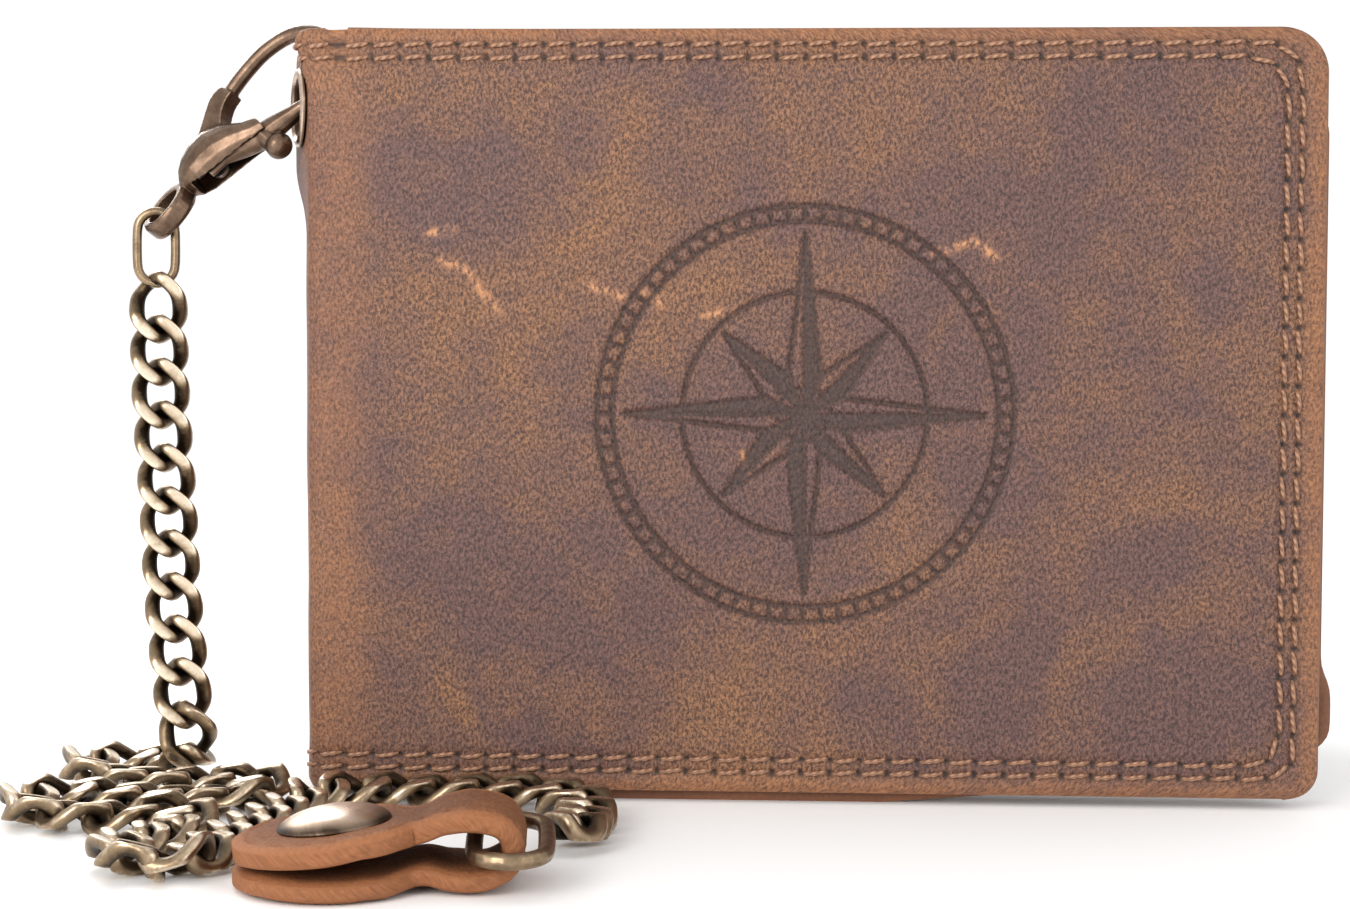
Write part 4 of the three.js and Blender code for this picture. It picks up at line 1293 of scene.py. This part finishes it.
def make_chain():
    route, at = resampled(catmull(CHAIN_ROUTE, 12), step=0.4)
    tangent, across, up, rise = chain_frames(route, at)
    number = round(at[-1] / LINK_PITCH)
    pitch = (at[-1] - 3.0) / (number - 1)
    sides, steps = ((12, 48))
    shape, wear = link_shape(sides, steps)
    rng = np.random.default_rng(31)
    points, faces, values = [], [], []
    base_faces = tube_faces(steps, sides, True)
    for k in range(number):
        s = 0.4 + k * pitch
        row = np.array([np.interp(s, at, route[:, m]) for m in range(3)])
        axes = []
        for field in (tangent, across, up):
            vector = np.array([np.interp(s, at, field[:, m]) for m in range(3)])
            axes.append(vector / np.linalg.norm(vector))
        jitter = rng.uniform(-1, 1, 3) * np.array([0.05, 0.05, 0.03])
        turn = np.array(Matrix.Rotation(jitter[0], 3, "X") @ Matrix.Rotation(jitter[2], 3, "Z"))
        local = shape @ turn.T
        row = row + np.array([0, 0, np.interp(s, at, rise)])
        world = row + local @ np.array(axes)
        lowest = world[:, 2].min()
        if lowest < 0.02:
            world[:, 2] += 0.02 - lowest
        points.append(world)
        values.append(wear)
        faces += [[v + k * len(shape) for v in face] for face in base_faces]
    piece = make_object("chain_links", np.concatenate(points), faces, CHAIN_BRASS,
            {"wear": np.concatenate(values)})
    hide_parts("chain_hanging", "chain_pile")
    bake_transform(piece)
    middle = route + np.outer(rise, (0, 0, 1.0))
    path, along = resampled(middle, step=2.0)
    path = (path * MM).tolist()


# ---- tab and ring ----

TAB_ORIGIN = np.array([-48.8, -49.5])
TAB_TURN = math.radians(6)
TAB_CENTRE = [(-10.4, 1.2), (-5, 1.2), (2, 1.2), (6, 1.3), (9.4, 1.9), (12.2, 1.35), (15.6, 1.3),
        (18.2, 2.6), (18.8, 4.9),
              (17.6, 7.0), (14.4, 7.75), (11.8, 7.3), (9.4, 6.3), (6, 5.75), (0, 5.05), (-5, 4.5),
              (-10.4, 3.95)]


def tab_world(points):
    c, s = math.cos(TAB_TURN), math.sin(TAB_TURN)
    x, y, z = points[..., 0], points[..., 1], points[..., 2]
    return np.stack([TAB_ORIGIN[0] + x * c - y * s, TAB_ORIGIN[1] + x * s + y * c, z], -1)


def tab_half_width(s):
    disc = np.sqrt(np.maximum(10.5**2 - np.clip(s, -10.5, 10.5) ** 2, 0.3))
    waist = np.interp(s, [5, 6.5, 8.5, 11, 14, 20], [12, 8.2, 5.9, 6.2, 6.9, 6.7])
    return np.minimum(disc, waist) * (s < 8) + np.minimum(np.maximum(disc, waist), waist) * (s >= 8)


def make_strap():
    """One strap: the lower layer, the loop and the upper layer, parted at the far side of the loop."""
    line, at = resampled(catmull(TAB_CENTRE, 12), step=0.28)
    across = np.linspace(-1, 1, 72)
    across = np.sin(across * math.pi / 2) * 0.35 + across * 0.65
    tangent = np.gradient(line, axis=0)
    tangent /= np.linalg.norm(tangent, axis=1)[:, None]
    normal = np.stack([tangent[:, 1], -tangent[:, 0]], 1)
    half = tab_half_width(line[:, 0])
    s = line[:, 0][:, None] + 0 * across[None, :]
    y = half[:, None] * across[None, :]
    z = line[:, 1][:, None] + 0 * y
    edge = np.minimum(half[:, None] * (1 - np.abs(across))[None, :], 12)
    edge = np.minimum(edge, np.maximum(10.5 - np.hypot(s, y), 0) + 30 * (s > 4))
    upper = (at > at[-1] * 0.5)[:, None]
    wave = 0.20 * value_noise(s + 40 * upper, y, 43, 5.5) + 0.07 * value_noise(s + 40 * upper, y, 44, 1.8)
    crease = 0.30 * np.exp(-(((edge - 1.7) / 0.38) ** 2)) * (0.55 + 0.45 * np.cos(at * TAU / 3.0))[:, None]
    roll = 0.55 * np.exp(-((edge / 0.7) ** 1.5))
    thick = 1.15 + 0.12 * upper
    rise = np.maximum(wave, -0.05)

    def face(offset):
        points = np.stack([s + normal[:, 0][:, None] * offset, y, z + rise + normal[:, 1][:, None] * offset],
                2)
        points[..., 2] = np.maximum(points[..., 2], 0.04)
        return tab_world(points)

    outer, inner = face(thick - crease - roll), face(-thick + roll * 0.6)
    pale = np.exp(-((edge / 1.5) ** 2)) * 0.8
    uv = np.stack([at[:, None] + 0 * y, y], 2)
    part = int(np.argmin(np.abs(at - at[np.argmax(line[:, 0])])))
    pieces = []
    for name, rows, node in (("tab_lower_leather", slice(0, part + 1), "tab_lower"),
                             ("tab_upper_leather", slice(part, None), "tab_upper")):
        values = {"edge": pale[rows], "hole_shade": 0 * pale[rows]}
        piece = sheet_piece(name, outer[rows], inner[rows], TAB_LEATHER, None, values, uv[rows], 0.22, 6,
                0.16)
        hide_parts(node)
        pieces.append(piece)
    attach(pieces[0], "wallet")
    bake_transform(pieces[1])


def make_tab():
    make_strap()
    base = node_box("tab_snap_cap")[0][2]
    radius = 6.0

    def place(p):
        tilted = np.stack([p[:, 0], p[:, 1], p[:, 2] + base + 0.35 + 0.108 * p[:, 0]], 1)
        return tab_world(tilted)

    def wear(p):
        r = np.hypot(p[:, 0], p[:, 1])
        return np.clip(0.78 - 0.6 * np.clip((r - 4.4) / 1.4, 0, 1), 0, 1)

    profile = [(0, 2.1), (1.6, 2.04), (3.2, 1.84), (4.4, 1.5), (5.3, 1.02), (5.8, 0.62), (radius, 0.3),
            (5.85, 0.04), (5.2, 0.0), (0, 0.0)]
    piece = turned_piece("tab_snap_dome", profile, CAP_BRASS, place, 96, wear)
    dress(piece, "tab_lid", "antique_brass", "tab_snap_cap")
    smooth_copy("end_ring_wire", "end_ring", CHAIN_BRASS, "wallet", 0.12, 12, "chain_brass")


# ---- everything, in order ----

make_camera()
make_stage()
BRASS = aged_metal("antique_brass", (0.045, 0.027, 0.018), (0.200, 0.132, 0.092), (0.60, 0.46, 0.36))
CHAIN_BRASS = aged_metal("chain_brass", (0.026, 0.017, 0.010), (0.300, 0.215, 0.135), (0.84, 0.70, 0.53),
        0.8)
CAP_BRASS = aged_metal("cap_brass", (0.060, 0.040, 0.028), (0.50, 0.37, 0.27), (0.95, 0.84, 0.72), 0.3)
STEEL = simple_metal("spring_steel", (0.45, 0.43, 0.41), 0.35)
OUTER = outer_leather()
LINING = plain_leather("lining_leather", (0.050, 0.021, 0.014), (0.170, 0.072, 0.038))
TAB_LEATHER = plain_leather("tab_leather", (0.075, 0.027, 0.012), (0.265, 0.104, 0.042), 1.4, 0.72)
THREAD = thread_material()
FILM = clear_film()

for node in ("eyelet_washer", "coin_snap_stud", "tab_snap_stud", "tab_snap_socket", "gate_pin"):
    frame["nodes"][node].data.materials.clear()
    frame["nodes"][node].data.materials.append(BRASS)
frame["nodes"]["gate_spring"].data.materials.clear()
frame["nodes"]["gate_spring"].data.materials.append(STEEL)

make_clasp()
make_tab()
make_chain()
make_eyelet()
make_cover_stitches(THREAD, *make_outer_leather(OUTER))
make_front_inside(LINING)
make_leaf(LINING, THREAD, FILM)
make_back_inside(LINING, THREAD)
